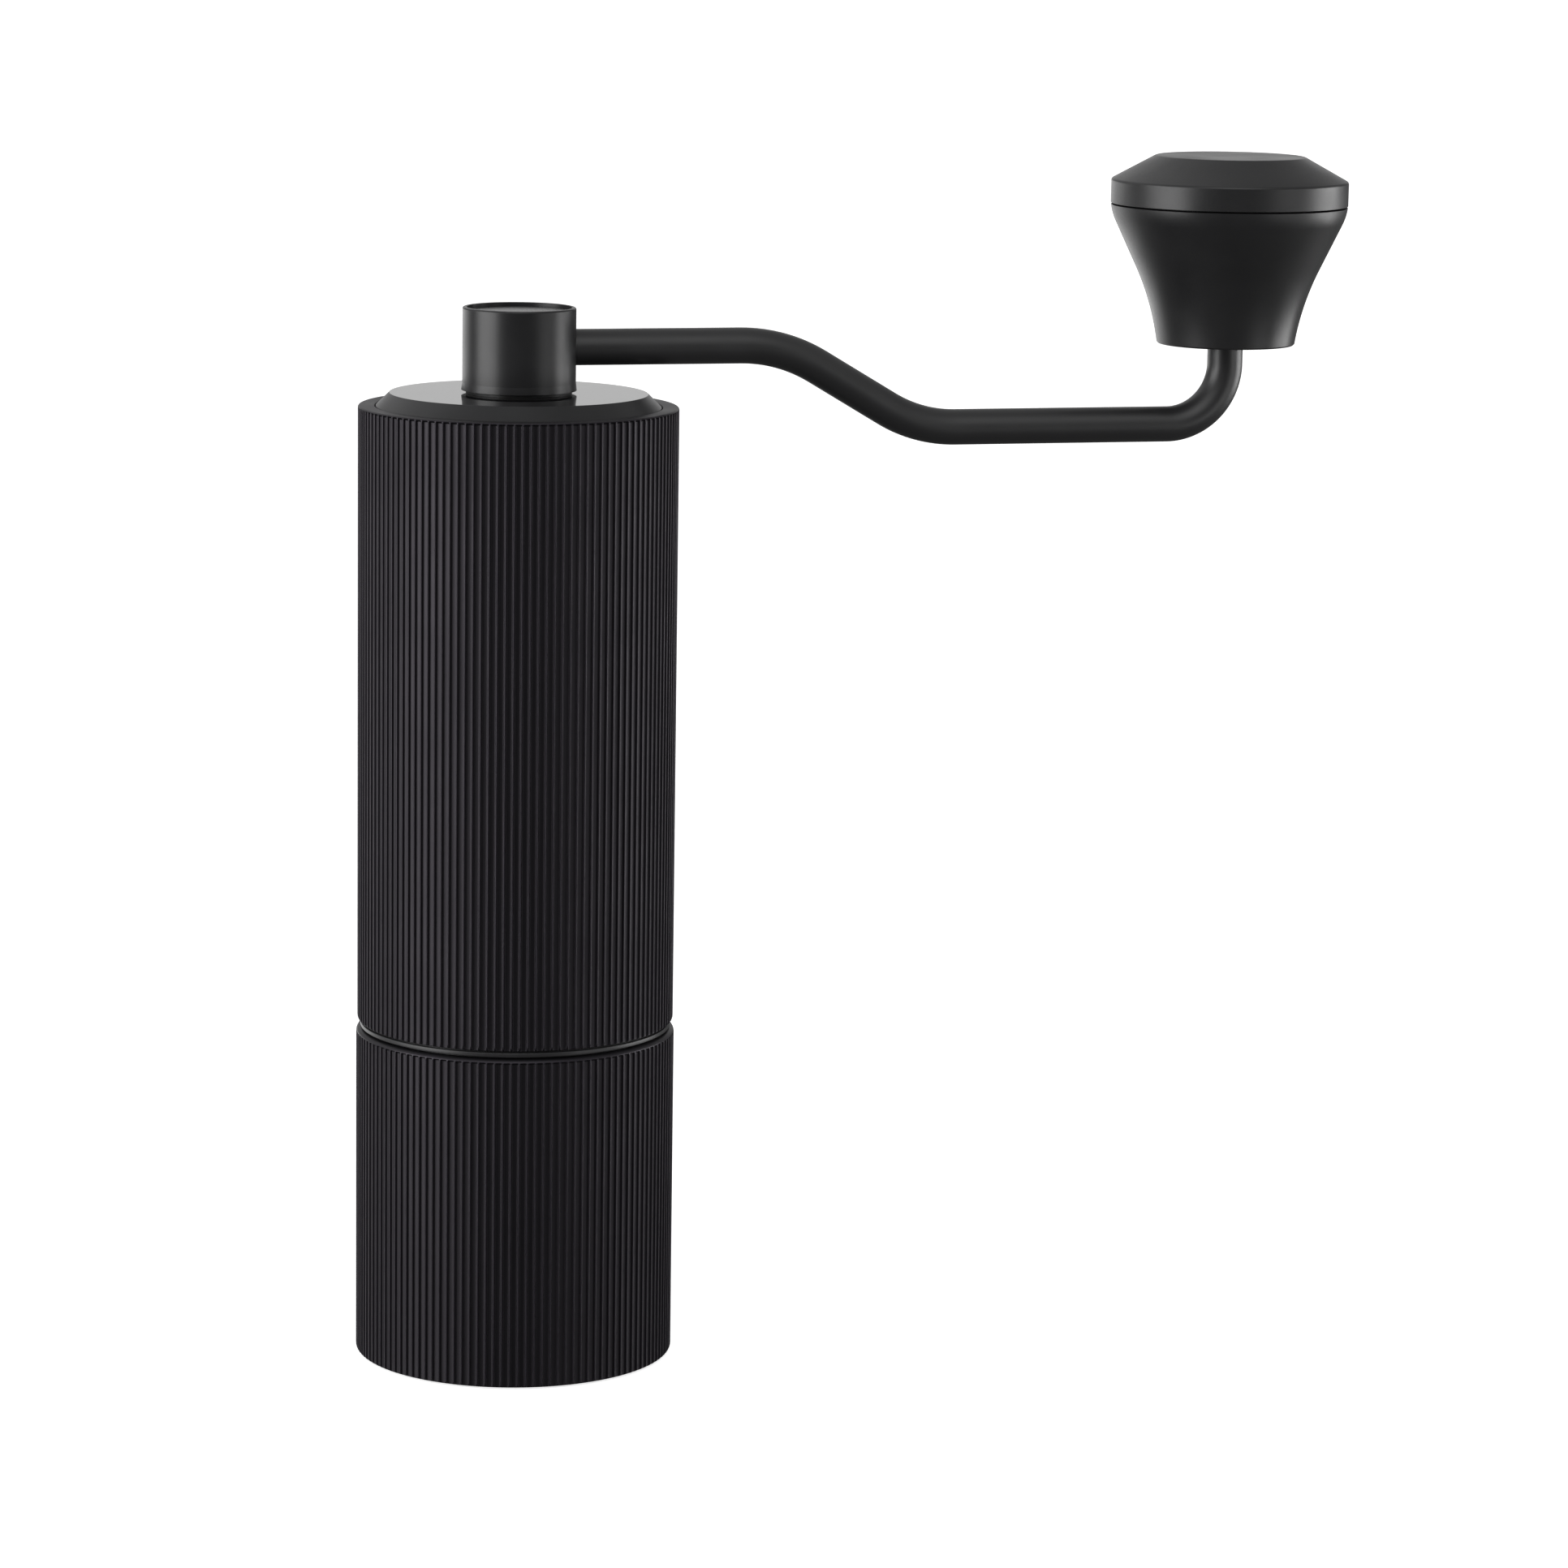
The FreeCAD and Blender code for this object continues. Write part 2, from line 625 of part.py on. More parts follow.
def crank_hub():
    dish_r = HUB_R - HUB_LIP
    dish_floor = HUB_TOP - CAP_SINK - CAP_THICK
    body = turned(
        (0, HUB_FOOT),
        (HUB_R + HUB_FLARE, HUB_FOOT, 0.1),
        (HUB_R + HUB_FLARE, HUB_FOOT + 0.5),
        (HUB_R, HUB_FOOT + 1.2),
        (HUB_R, HUB_TOP, 0.3),
        (dish_r, HUB_TOP, 0.1),
        (dish_r, dish_floor),
        (0, dish_floor),
    )
    socket_hole = rod(SOCKET_R + SEATED, HUB_FOOT - PAST, SOCKET_TOP + SEATED)
    arm_hole = bar(ARM_R + SEATED, 2 * HUB_R, ARM_INNER_END - SEATED, ARM_HIGH)
    screw_hole = rod(SET_SCREW_R + SEATED, ARM_HIGH, HUB_TOP)
    return body.cut([socket_hole, arm_hole, screw_hole])


def arm_set_screw():
    low = ARM_HIGH + ARM_R + SEATED
    key_flats, key_depth = SET_SCREW_KEY
    screw = turned(
        (0, low), (SET_SCREW_R - 0.5, low), (SET_SCREW_R, low + 0.5),
        (SET_SCREW_R, SET_SCREW_TOP), (0, SET_SCREW_TOP),
    )
    return screw.cut(hexagon(key_flats, SET_SCREW_TOP - key_depth, SET_SCREW_TOP + PAST))


def hub_cap():
    high = HUB_TOP - CAP_SINK
    low = high - CAP_THICK + SEATED
    cap_r = HUB_R - HUB_LIP - SEATED
    return turned((0, low), (cap_r, low), (cap_r, high, 0.15), (0, high))


def crank_arm():
    corners = [
        (ARM_INNER_END, ARM_HIGH),
        (BEND_START, ARM_HIGH, BEND_RADII[0]),
        (BEND_END, ARM_LOW, BEND_RADII[1]),
        (CRANK_REACH, ARM_LOW, BEND_RADII[2]),
        (CRANK_REACH, PIN_FOOT),
    ]
    section = Part.Wire(Part.makeCircle(ARM_R, Vector(ARM_INNER_END, 0, ARM_HIGH), OUT))
    bent = route(corners, closed=False).makePipeShell([section], True, False)
    pin = rod(PIN_R, PIN_FOOT - PAST, PIN_TOP, CRANK_REACH)
    tapped = rod(SCREW_R + SEATED, PIN_TOP - PIN_TAPPED, PIN_TOP + PAST, CRANK_REACH)
    return bent.fuse(pin).cut(tapped)


def at_knob(shape):
    shape.translate(Vector(CRANK_REACH, 0, 0))
    return shape


def knob_washer():
    radius, thick = KNOB_WASHER
    low = PIN_TOP + SEATED
    return at_knob(tube(radius, SCREW_R + SEATED, low, low + thick))


def knob_screw():
    radius, height = SCREW_HEAD
    foot = PIN_TOP + KNOB_WASHER[1] + 2 * SEATED
    shank = rod(SCREW_R, foot - SCREW_LENGTH, foot + 0.2)
    head = turned((0, foot), (radius, foot), (radius, foot + height, 0.6), (0, foot + height))
    return at_knob(head.fuse(shank).cut(hexagon(2.0, foot + 0.5, foot + height + PAST)))


def arc_to(start, direction, end):
    """The arc from start to end that leaves start in this direction."""
    chord = end - start
    normal = Vector(-direction.z, 0, direction.x)
    radius = chord.Length**2 / (2 * chord.dot(normal))
    centre = start + normal * radius
    middle = (start + end) * 0.5 - centre
    return Part.Arc(start, centre + middle.normalize() * abs(radius), end).toShape()


def knob_body():
    """The flared outside: a hollow neck, a straight slope and a full shoulder up to the seam."""
    foot = Vector(KNOB_FOOT_R, 0, KNOB_FOOT + KNOB_FOOT_ROUND)
    neck_top = Vector(NECK_TOP_R, 0, NECK_TOP)
    slope_top = Vector(SLOPE_TOP_R, 0, SLOPE_TOP)
    brow = Vector(KNOB_R - BROW_IN, 0, KNOB_SEAM - BROW_DROP)
    base = Vector(0, 0, KNOB_FOOT)
    base_edge = Vector(KNOB_FOOT_R - KNOB_FOOT_ROUND, 0, KNOB_FOOT)
    upward = (slope_top - neck_top).normalize()
    edges = [
        arc_to(neck_top, upward * -1, foot),
        Part.LineSegment(neck_top, slope_top).toShape(),
        arc_to(slope_top, upward, brow),
    ]
    edges += Part.makePolygon([brow, Vector(0, 0, brow.z), base, base_edge, foot]).Edges
    return Part.Face(Part.Wire(Part.__sortEdges__(edges))).revolve(Vector(), UP, 360)


def knob_shell():
    cap_seat_r = KNOB_R - KNOB_WALL - 0.2
    top = KNOB_SEAM + PAST
    hollow = turned(
        (TOWER_R, HOLLOW_FOOT, 0.8),
        (KNOB_FOOT_R - KNOB_WALL, HOLLOW_FOOT, 0.8),
        (NECK_TOP_R - KNOB_WALL, NECK_TOP),
        (cap_seat_r, HOLLOW_TOP, 1.5),
        (cap_seat_r, top),
        (0, top),
        (0, TOWER_TOP),
        (TOWER_R, TOWER_TOP),
    )
    bore = rod(BUSH_R, KNOB_FOOT - PAST, top)
    flange_seat = rod(BUSH_FLANGE_R + 0.2, KNOB_FOOT - PAST, BUSH_FLANGE_TOP + SEATED)
    return at_knob(knob_body().cut([hollow, bore, flange_seat]))


def knob_cap():
    low = KNOB_SEAM + 0.1
    spigot_r = KNOB_R - KNOB_WALL - 0.2 - SEATED
    inner_r = spigot_r - KNOB_CAP_WALL
    ceiling = KNOB_TOP - KNOB_CAP_TOP_WALL
    return at_knob(
        turned(
            (inner_r, CAP_SPIGOT_FOOT, 0.3),
            (spigot_r, CAP_SPIGOT_FOOT, 0.3),
            (spigot_r, low),
            (KNOB_R, low, 0.15),
            (KNOB_R, KNOB_EDGE, 0.5),
            (KNOB_TOP_R, KNOB_TOP, 0.8),
            (0, KNOB_TOP),
            (0, ceiling),
            (KNOB_TOP_R - 0.5, ceiling),
            (inner_r, KNOB_EDGE - 1.6),
        )
    )


def knob_lower_bush():
    bore = PIN_R + RUNNING
    sleeve_r = BUSH_R - SEATED
    foot = PIN_FOOT + 0.1
    return at_knob(
        turned(
            (bore, foot),
            (BUSH_FLANGE_R, foot),
            (BUSH_FLANGE_R, BUSH_FLANGE_TOP),
            (sleeve_r, BUSH_FLANGE_TOP),
            (sleeve_r, BUSH_LOW_TOP),
            (bore, BUSH_LOW_TOP),
        )
    )


def knob_upper_bush():
    return at_knob(tube(BUSH_R - SEATED, PIN_R + RUNNING, BUSH_HIGH_FOOT, TOWER_TOP))


def all_parts():
    single = [
        catch_cup, cup_foot_pad, barrel_shell, lower_housing, spigot_o_rings, upper_bridge,
        outer_burr, burr_grub_screws, drive_shaft, shaft_circlip, spring_washer, burr_spring,
        inner_burr, detent_balls, detent_springs, adjuster_dial, lid, lid_o_ring, lid_bush,
        hub_socket, hub_circlip, crank_hub, arm_set_screw, hub_cap, crank_arm, knob_washer,
        knob_screw, knob_shell, knob_cap, knob_lower_bush, knob_upper_bush,
    ]
    parts = {make.__name__: make() for make in single}
    for place, low in (("lower", LOWER_BEARING), ("upper", UPPER_BEARING)):
        parts[f"{place}_snap_ring"] = snap_ring(low)
        for piece, shape in bearing(low).items():
            parts[f"{place}_bearing_{piece}"] = shape
    return parts


os.makedirs("parts", exist_ok=True)
for name, shape in all_parts().items():
    if not shape.isValid():
        print("not valid:", name)
    print(f"{name:26s} solids {len(shape.Solids)} volume {shape.Volume:9.1f}")
    shape.exportStep(f"parts/{name}.step")
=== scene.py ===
import json
import math

import bmesh
import bpy
from mathutils import Matrix, Vector


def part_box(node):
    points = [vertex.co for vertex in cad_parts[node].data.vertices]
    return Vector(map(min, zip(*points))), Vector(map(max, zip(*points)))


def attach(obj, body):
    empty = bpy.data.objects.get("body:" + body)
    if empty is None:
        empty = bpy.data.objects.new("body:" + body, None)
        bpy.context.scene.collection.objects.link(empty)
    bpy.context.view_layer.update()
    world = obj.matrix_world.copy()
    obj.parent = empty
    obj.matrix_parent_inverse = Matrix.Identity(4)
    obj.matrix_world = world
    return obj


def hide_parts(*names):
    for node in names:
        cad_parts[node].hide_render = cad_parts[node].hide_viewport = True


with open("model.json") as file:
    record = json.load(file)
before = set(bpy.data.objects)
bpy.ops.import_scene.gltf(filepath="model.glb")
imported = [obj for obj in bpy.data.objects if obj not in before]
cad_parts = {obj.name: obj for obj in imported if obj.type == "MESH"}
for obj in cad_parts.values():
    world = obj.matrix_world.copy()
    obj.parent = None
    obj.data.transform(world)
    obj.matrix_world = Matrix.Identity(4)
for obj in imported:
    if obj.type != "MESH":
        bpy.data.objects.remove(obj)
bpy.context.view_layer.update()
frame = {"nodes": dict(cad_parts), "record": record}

MM = 0.001
SEATED = 0.02 * MM  # gap round a part that is pressed into another
RUNNING = 0.05 * MM  # gap round a part that turns in another

CREASE = math.radians(35)  # edges that turn by more than this stay sharp
CORNER_STEP = math.radians(14)  # between the points of a rounded corner
BEND_STEP = math.radians(1.99)  # between the points of a bend in the arm

# the camera: where it stands, its heading from +Y towards +X, its tilt down and its roll
CAMERA_AT = Vector((-0.177, -0.8531, 0.2514))
CAMERA_HEADING = math.radians(14.603)
CAMERA_TILT = math.radians(10.134)
CAMERA_ROLL = math.radians(0.851)
CAMERA_LENS = 123.89
SENSOR_WIDTH = 36

# grip ribs
RIBS = 124
GROOVE_DEPTH = 0.38 * MM
GROOVE_HALF = 0.525 * MM
GROOVE_SQUARENESS = 6  # the power that keeps a groove's floor flat up to its walls
CREST_R = 0.155 * MM
GROOVE_END = 0.35 * MM  # the height over which a groove closes at its top
BARREL_BAND = 0.2 * MM  # smooth band above the barrel's grooves
CUP_BAND = 0.5 * MM

# cup and lower housing
CUP_FLOOR = 3.4 * MM
SPIGOT_RING_LEVELS = (48.6 * MM, 52.2 * MM)
SPIGOT_GROOVE_R = 22.4 * MM
SPIGOT_WIRE = 1.02 * MM
SEAM_SHADOW_R = 24.9 * MM
CHUTE_R = 18.5 * MM

# the three-armed holders of the bearings, with the lowest and highest levels of their parts
ARM_ANGLES = (90, 210, 330)
BOSS_R = 10.6 * MM
BEARING_HEIGHT = 5 * MM
LOWER_ARMS = (70.5 * MM, 76 * MM)
LOWER_BOSS = (68.6 * MM, 77 * MM)
BRIDGE_RING = (139 * MM, 146 * MM)
BRIDGE_ARMS = (139.8 * MM, 145.2 * MM)

# shaft: plain between two hexagons, whose corners are turned down to one radius
SHAFT_R = 4 * MM
HEXAGON_CORNER_R = 4.1 * MM
SHAFT_FLATS = 6.9 * MM
JOURNAL = (66 * MM, 146.5 * MM)
THREAD_R = 3.45 * MM
THREAD_TOP = 49.5 * MM
THREAD_PITCH = 1 * MM
THREAD_DEPTH = 0.3 * MM

# burrs and dial
BURR_FLATS = 7 * MM
FINE_TEETH = 42
COARSE_FLUTES = 7
FINE_BAND = (50.8 * MM, 54 * MM)
DIAL_R = 13.5 * MM
CLICKS = 12

# lid and hub
LID_SHOULDER = 157.3 * MM
LID_TOP_R = 20.92 * MM
LID_BORE_R = 7.6 * MM
LID_BOSS_R = 9.6 * MM
LID_BOSS_FOOT = 153 * MM
LID_SEAL_GROOVE = (153.4 * MM, 154.6 * MM)
LID_SEAL_WIRE = 0.8 * MM
SOCKET_FLATS = 7.05 * MM

# arm: where the tangents of its first two bends meet, the radii of all three, and its pin
BEND_START, BEND_END = 43.8 * MM, 67.15 * MM
BEND_RADII = (25.5 * MM, 23 * MM, 10 * MM)
PIN_R, PIN_FOOT = 2.5 * MM, 166 * MM
PIN_BORE_R, PIN_BORE_DEPTH = 1.52 * MM, 8 * MM

# knob: its neck and shoulder are the (radius, level) of each end of the flare's straight part
KNOB_FOOT_R = 11.5 * MM
KNOB_NECK = Vector((15.3 * MM, 179 * MM))
KNOB_SHOULDER = Vector((18.85 * MM, 186.5 * MM))
KNOB_WALL = 2 * MM
KNOB_CORE = (169.5 * MM, 186.5 * MM)
KNOB_CORE_R = 7.2 * MM
KNOB_BUSH_R = 4.18 * MM
KNOB_EDGE = 193.5 * MM
KNOB_TOP_R = 12.4 * MM


def low(node):
    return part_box(node)[0].z


def high(node):
    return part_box(node)[1].z


def reach(node):
    """The greatest radius of a node that stands on the grinder's axis."""
    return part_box(node)[1].y


# ---------------------------------------------------------------- outlines and meshes


def round_corner(before, at, after, radius, step=CORNER_STEP):
    """The points of the arc that rounds a corner of an outline."""
    back = (before - at).normalized()
    onward = (after - at).normalized()
    half = back.angle(onward) / 2
    centre = at + (back + onward).normalized() * (radius / math.sin(half))
    first = at + back * (radius / math.tan(half)) - centre
    turn = math.pi - 2 * half
    side = 1 if (at - before).cross(after - at) > 0 else -1
    steps = max(2, math.ceil(turn / step))
    return [centre + Matrix.Rotation(side * turn * i / steps, 2) @ first for i in range(steps + 1)]


def rounded(corners, step=CORNER_STEP):
    """Outline points from (x, z) corners, with a third value where an arc rounds the corner."""
    points = []
    for i, corner in enumerate(corners):
        at = Vector(corner[:2])
        if len(corner) < 3:
            points.append(at)
            continue
        before = Vector(corners[i - 1][:2])
        after = Vector(corners[(i + 1) % len(corners)][:2])
        points += round_corner(before, at, after, corner[2], step)
    return points


def with_levels(points, levels):
    """The same closed outline, cut where it crosses each level."""
    cut = []
    for i, start in enumerate(points):
        end = points[(i + 1) % len(points)]
        cut.append(start)
        shares = [(z - start.y) / (end.y - start.y) for z in levels if abs(end.y - start.y) > 1e-9]
        cut += [start.lerp(end, share) for share in sorted(shares) if 1e-4 < share < 1 - 1e-4]
    return cut


def to_object(name, mesh_data, material):
    """A smooth-shaded object from a bmesh, with its hard edges kept."""
    bmesh.ops.remove_doubles(mesh_data, verts=mesh_data.verts, dist=1e-8)
    bmesh.ops.recalc_face_normals(mesh_data, faces=mesh_data.faces)
    mesh = bpy.data.meshes.new(name)
    mesh_data.to_mesh(mesh)
    mesh_data.free()
    mesh.shade_smooth()
    mesh.set_sharp_from_angle(angle=CREASE)
    mesh.materials.append(material)
    piece = bpy.data.objects.new(name, mesh)
    bpy.context.scene.collection.objects.link(piece)
    weighted = piece.modifiers.new("even_normals", "WEIGHTED_NORMAL")
    weighted.keep_sharp = True
    return piece


def turned(name, corners, material, columns=160, levels=(), shape=None, angles=None, centre=0.0):
    """A closed shell turned about the Z axis, whose radius a shape function may change."""
    loop = with_levels(rounded(corners), levels)
    angles = angles or [2 * math.pi * i / columns for i in range(columns)]
    mesh_data = bmesh.new()
    rings = []
    for angle in angles:
        ring = []
        for point in loop:
            radius = shape(point.x, point.y, angle) if shape else point.x
            spot = (centre + radius * math.cos(angle), radius * math.sin(angle), point.y)
            ring.append(mesh_data.verts.new(spot))
        rings.append(ring)
    count = len(loop)
    for i, ring in enumerate(rings):
        following = rings[(i + 1) % len(rings)]
        for j in range(count):
            k = (j + 1) % count
            if loop[j].x > 1e-7 or loop[k].x > 1e-7:
                mesh_data.faces.new((ring[j], following[j], following[k], ring[k]))
    bmesh.ops.dissolve_degenerate(mesh_data, dist=1e-9, edges=mesh_data.edges)
    return to_object(name, mesh_data, material)


def swept(name, path, radius, material):
    """A round bar along a path in the XZ plane, with flat ends."""
    sides = 64
    mesh_data = bmesh.new()
    rings = []
    for i, at in enumerate(path):
        along = (path[min(i + 1, len(path) - 1)] - path[max(i - 1, 0)]).normalized()
        across = Vector((-along.y, along.x))
        ring = []
        for side in range(sides):
            angle = 2 * math.pi * side / sides
            spot = at + across * (radius * math.cos(angle))
            ring.append(mesh_data.verts.new((spot.x, radius * math.sin(angle), spot.y)))
        rings.append(ring)
    for ring, following in zip(rings, rings[1:]):
        for side in range(sides):
            after = (side + 1) % sides
            mesh_data.faces.new((ring[side], ring[after], following[after], following[side]))
    mesh_data.faces.new(rings[0])
    mesh_data.faces.new(rings[-1])
    return to_object(name, mesh_data, material)


def bevelled_bar(name, start, size, angle, material):
    """A bar along the radius at an angle in degrees, with rounded edges."""
    bevel = 1.2 * MM
    turn = Matrix.Rotation(math.radians(angle), 3, "Z")
    mesh_data = bmesh.new()
    bmesh.ops.create_cube(mesh_data, size=1)
    bmesh.ops.scale(mesh_data, vec=size, verts=mesh_data.verts)
    bmesh.ops.translate(mesh_data, vec=start + Vector((size.x / 2, 0, size.z / 2)), verts=mesh_data.verts)
    bmesh.ops.bevel(mesh_data, geom=mesh_data.edges[:], offset=bevel, segments=5, profile=0.5, affect="EDGES")
    bmesh.ops.rotate(mesh_data, matrix=turn, verts=mesh_data.verts)
    return to_object(name, mesh_data, material)


def hexagon_radius(flats, angle):
    """How far a hexagon on the axis, with a corner on X, reaches at an angle."""
    within = (angle % (math.pi / 3)) - math.pi / 6
    return flats / 2 / math.cos(within)


def share_of(value, start, end):
    """How far value has come from start to end, from 0 to 1."""
    return max(0.0, min(1.0, (value - start) / (end - start)))


def place(piece, body, slot, *nodes):
    """Puts a finished piece on its body, in place of the CAD nodes it stands for."""
    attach(piece, body)
    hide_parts(*nodes)


# ---------------------------------------------------------------- finishes


class NodeMaker:
    """Adds shader nodes to a tree and joins them up."""

    ramp_kind = "LINEAR"

    def __init__(self, tree):
        self.nodes = tree.nodes
        self.links = tree.links

    def node(self, kind, **settings):
        node = self.nodes.new(kind)
        for key, value in settings.items():
            setattr(node, key, value)
        return node

    def link(self, output, socket):
        self.links.new(output, socket)

    def put(self, value, socket):
        """Sets a socket to a constant, or links an output to it."""
        if isinstance(value, bpy.types.NodeSocket):
            self.link(value, socket)
        else:
            socket.default_value = value

    def maths(self, operation, first, second):
        node = self.node("ShaderNodeMath", operation=operation)
        self.put(first, node.inputs[0])
        self.put(second, node.inputs[1])
        return node.outputs[0]

    def vector_maths(self, operation, first, second=None):
        node = self.node("ShaderNodeVectorMath", operation=operation)
        self.put(first, node.inputs[0])
        if second:
            self.put(second, node.inputs[1])
        return node

    def ramp(self, value, low_in, high_in, low_out, high_out):
        node = self.node("ShaderNodeMapRange", interpolation_type=self.ramp_kind)
        self.link(value, node.inputs["Value"])
        node.inputs["From Min"].default_value = low_in
        node.inputs["From Max"].default_value = high_in
        node.inputs["To Min"].default_value = low_out
        node.inputs["To Max"].default_value = high_out
        return node.outputs["Result"]


class Finish(NodeMaker):
    """A node material that is put together a step at a time."""

    def __init__(self, name, colour, roughness, metallic=0.0, specular=0.5):
        self.material = bpy.data.materials.new(name)
        self.material.use_nodes = True
        super().__init__(self.material.node_tree)
        self.shader = self.nodes["Principled BSDF"]
        self.shader.inputs["Metallic"].default_value = metallic
        self.shader.inputs["Specular IOR Level"].default_value = specular
        self.shader.inputs["Base Color"].default_value = (*colour, 1)
        self.shader.inputs["Roughness"].default_value = roughness
        self.relief = None
        self.place = self.node("ShaderNodeTexCoord").outputs["Object"]

    def noise(self, size, detail=3.0, stretch=None, place=None):
        """A noise whose features are this many millimetres across."""
        spot = place or self.place
        if stretch:
            spot = self.vector_maths("MULTIPLY", spot, stretch).outputs[0]
        noise = self.node("ShaderNodeTexNoise")
        noise.inputs["Scale"].default_value = 1 / (size * MM)
        noise.inputs["Detail"].default_value = detail
        self.link(spot, noise.inputs["Vector"])
        return noise.outputs["Fac"]

    def axis_radius(self):
        """The distance from the grinder's axis."""
        flat = self.vector_maths("MULTIPLY", self.place, (1, 1, 0)).outputs[0]
        return self.vector_maths("LENGTH", flat).outputs["Value"]

    def lathe_place(self):
        """Coordinates of radius and height only, so that a noise there is rings round the axis."""
        split = self.node("ShaderNodeSeparateXYZ")
        self.link(self.place, split.inputs[0])
        joined = self.node("ShaderNodeCombineXYZ")
        self.link(self.axis_radius(), joined.inputs[0])
        self.link(split.outputs[2], joined.inputs[2])
        return joined.outputs[0]

    def mix_colour(self, share, first, second):
        node = self.node("ShaderNodeMix", data_type="RGBA")
        self.link(share, node.inputs["Factor"])
        for socket, value in ((node.inputs[6], first), (node.inputs[7], second)):
            self.put((*value, 1) if isinstance(value, tuple) else value, socket)
        return node.outputs[2]

    def set_colour(self, output):
        self.link(output, self.shader.inputs["Base Color"])

    def set_roughness(self, *values):
        """Adds noises, each already ramped to a change in roughness, to the even roughness."""
        total = self.shader.inputs["Roughness"].default_value
        for value in values:
            total = self.maths("ADD", value, total)
        self.link(total, self.shader.inputs["Roughness"])

    def bump(self, height, depth):
        """Relief this many millimetres deep, over any relief that is already there."""
        node = self.node("ShaderNodeBump")
        node.inputs["Strength"].default_value = 1
        node.inputs["Distance"].default_value = depth * MM
        self.link(height, node.inputs["Height"])
        if self.relief:
            self.link(self.relief, node.inputs["Normal"])
        self.relief = node.outputs["Normal"]
        self.link(self.relief, self.shader.inputs["Normal"])


def anodised(name, colour, roughness, grain=0.004):
    """Black anodised aluminium, bead-blasted: a fine grain and faint clouds in colour and gloss."""
    finish = Finish(name, colour, roughness)
    lighter = tuple(1.35 * c + 0.002 for c in colour)
    finish.set_colour(finish.mix_colour(finish.ramp(finish.noise(9.0, 4), 0.35, 0.7, 0, 1), colour, lighter))
    smudge = finish.ramp(finish.noise(14.0, 5), 0.3, 0.7, -0.03, 0.05)
    fine = finish.ramp(finish.noise(0.18, 2), 0.3, 0.7, -0.03, 0.03)
    finish.set_roughness(smudge, fine)
    finish.bump(finish.noise(0.16, 3), grain)
    return finish.material


def ribbed(name, crest_r):
    """Black anodised grip ribs: streaked crests that catch the light, and duller grooves whose colour is
    darkened with depth as painted shade.
    """
    crest_dark, crest_light = (0.0078, 0.007, 0.0092), (0.011, 0.0097, 0.0128)
    # groove: painted shade, the darker colour put on the grooves' floors
    groove = (0.0035, 0.0035, 0.004)
    finish = Finish(name, crest_dark, 0.37, specular=0.41)
    finish.shader.inputs["Specular Tint"].default_value = (0.95, 0.88, 1.0, 1)
    # height runs from 0 on a groove's floor to 1 on the crest; it masks the painted groove shade and the
    # duller roughness
    height = finish.ramp(finish.axis_radius(), crest_r - 0.30 * MM, crest_r - 0.03 * MM, 0, 1)
    streak = finish.noise(2.2, 3, stretch=(1, 1, 0.04))
    crest = finish.mix_colour(finish.ramp(streak, 0.35, 0.65, 0, 1), crest_dark, crest_light)
    # painted shade: the colour darkens from the crest colour to the groove colour as the surface sinks into a
    # groove
    finish.set_colour(finish.mix_colour(height, groove, crest))
    smudge = finish.ramp(finish.noise(11.0, 4), 0.3, 0.7, -0.03, 0.05)
    finish.set_roughness(finish.ramp(height, 0, 1, 0.08, 0), smudge)
    finish.bump(finish.noise(0.2, 2), 0.002)
    return finish.material


def polished_black():
    """The lid's top: polished on a lathe, with faint wiping marks."""
    finish = Finish("lid_polished_black", (0.012, 0.012, 0.013), 0.06)
    finish.set_roughness(finish.ramp(finish.noise(6.0, 6), 0.45, 0.8, 0, 0.05))
    finish.bump(finish.noise(0.4, 2, place=finish.lathe_place()), 0.0003)
    finish.shader.inputs["Coat Weight"].default_value = 0.2
    finish.shader.inputs["Coat Roughness"].default_value = 0.04
    return finish.material


def moulded_black():
    """The knob's plastic: a fine spark-eroded texture, a little glossier where hands rub it."""
    dark, light = (0.016, 0.016, 0.017), (0.0195, 0.0195, 0.0205)
    finish = Finish("knob_moulded_black", dark, 0.38, specular=0.55)
    finish.set_colour(finish.mix_colour(finish.ramp(finish.noise(7.0, 4), 0.35, 0.7, 0, 1), dark, light))
    rubbed = finish.ramp(finish.noise(12.0, 4), 0.35, 0.7, -0.05, 0.05)
    fine = finish.ramp(finish.noise(0.25, 2), 0.3, 0.7, -0.03, 0.03)
    finish.set_roughness(rubbed, fine)
    finish.bump(finish.noise(0.22, 3), 0.006)
    return finish.material


def coated_black():
    """The arm's satin coat: a fine orange peel."""
    finish = Finish("arm_coated_black", (0.019, 0.019, 0.02), 0.39, specular=0.75)
    finish.set_roughness(finish.ramp(finish.noise(8.0, 4), 0.35, 0.7, -0.04, 0.05))
    finish.bump(finish.noise(0.5, 2), 0.006)
    finish.bump(finish.noise(0.12, 2), 0.002)
    return finish.material


def rubber(name, colour, roughness):
    """Rubber or dark nylon, with a dull, uneven skin."""
    finish = Finish(name, colour, roughness, specular=0.35)
    finish.set_roughness(finish.ramp(finish.noise(3.0, 4), 0.3, 0.7, -0.05, 0.08))
    finish.bump(finish.noise(0.2, 4), 0.008)
    return finish.material


def turned_metal(name, colour, roughness, line_depth=0.002):
    """Bare metal from a lathe: fine rings round the axis and faint stains."""
    finish = Finish(name, colour, roughness, metallic=1.0)
    rings = finish.noise(0.09, 2, place=finish.lathe_place())
    stain = finish.ramp(finish.noise(4.0, 5), 0.4, 0.75, 1, 0.8)
    stained = finish.vector_maths("SCALE", colour)
    finish.link(stain, stained.inputs["Scale"])
    finish.set_colour(stained.outputs[0])
    dull = finish.ramp(finish.noise(3.0, 4), 0.35, 0.7, -0.03, 0.08)
    finish.set_roughness(finish.ramp(rings, 0.3, 0.7, -0.05, 0.07), dull)
    finish.bump(rings, line_depth)
    return finish.material


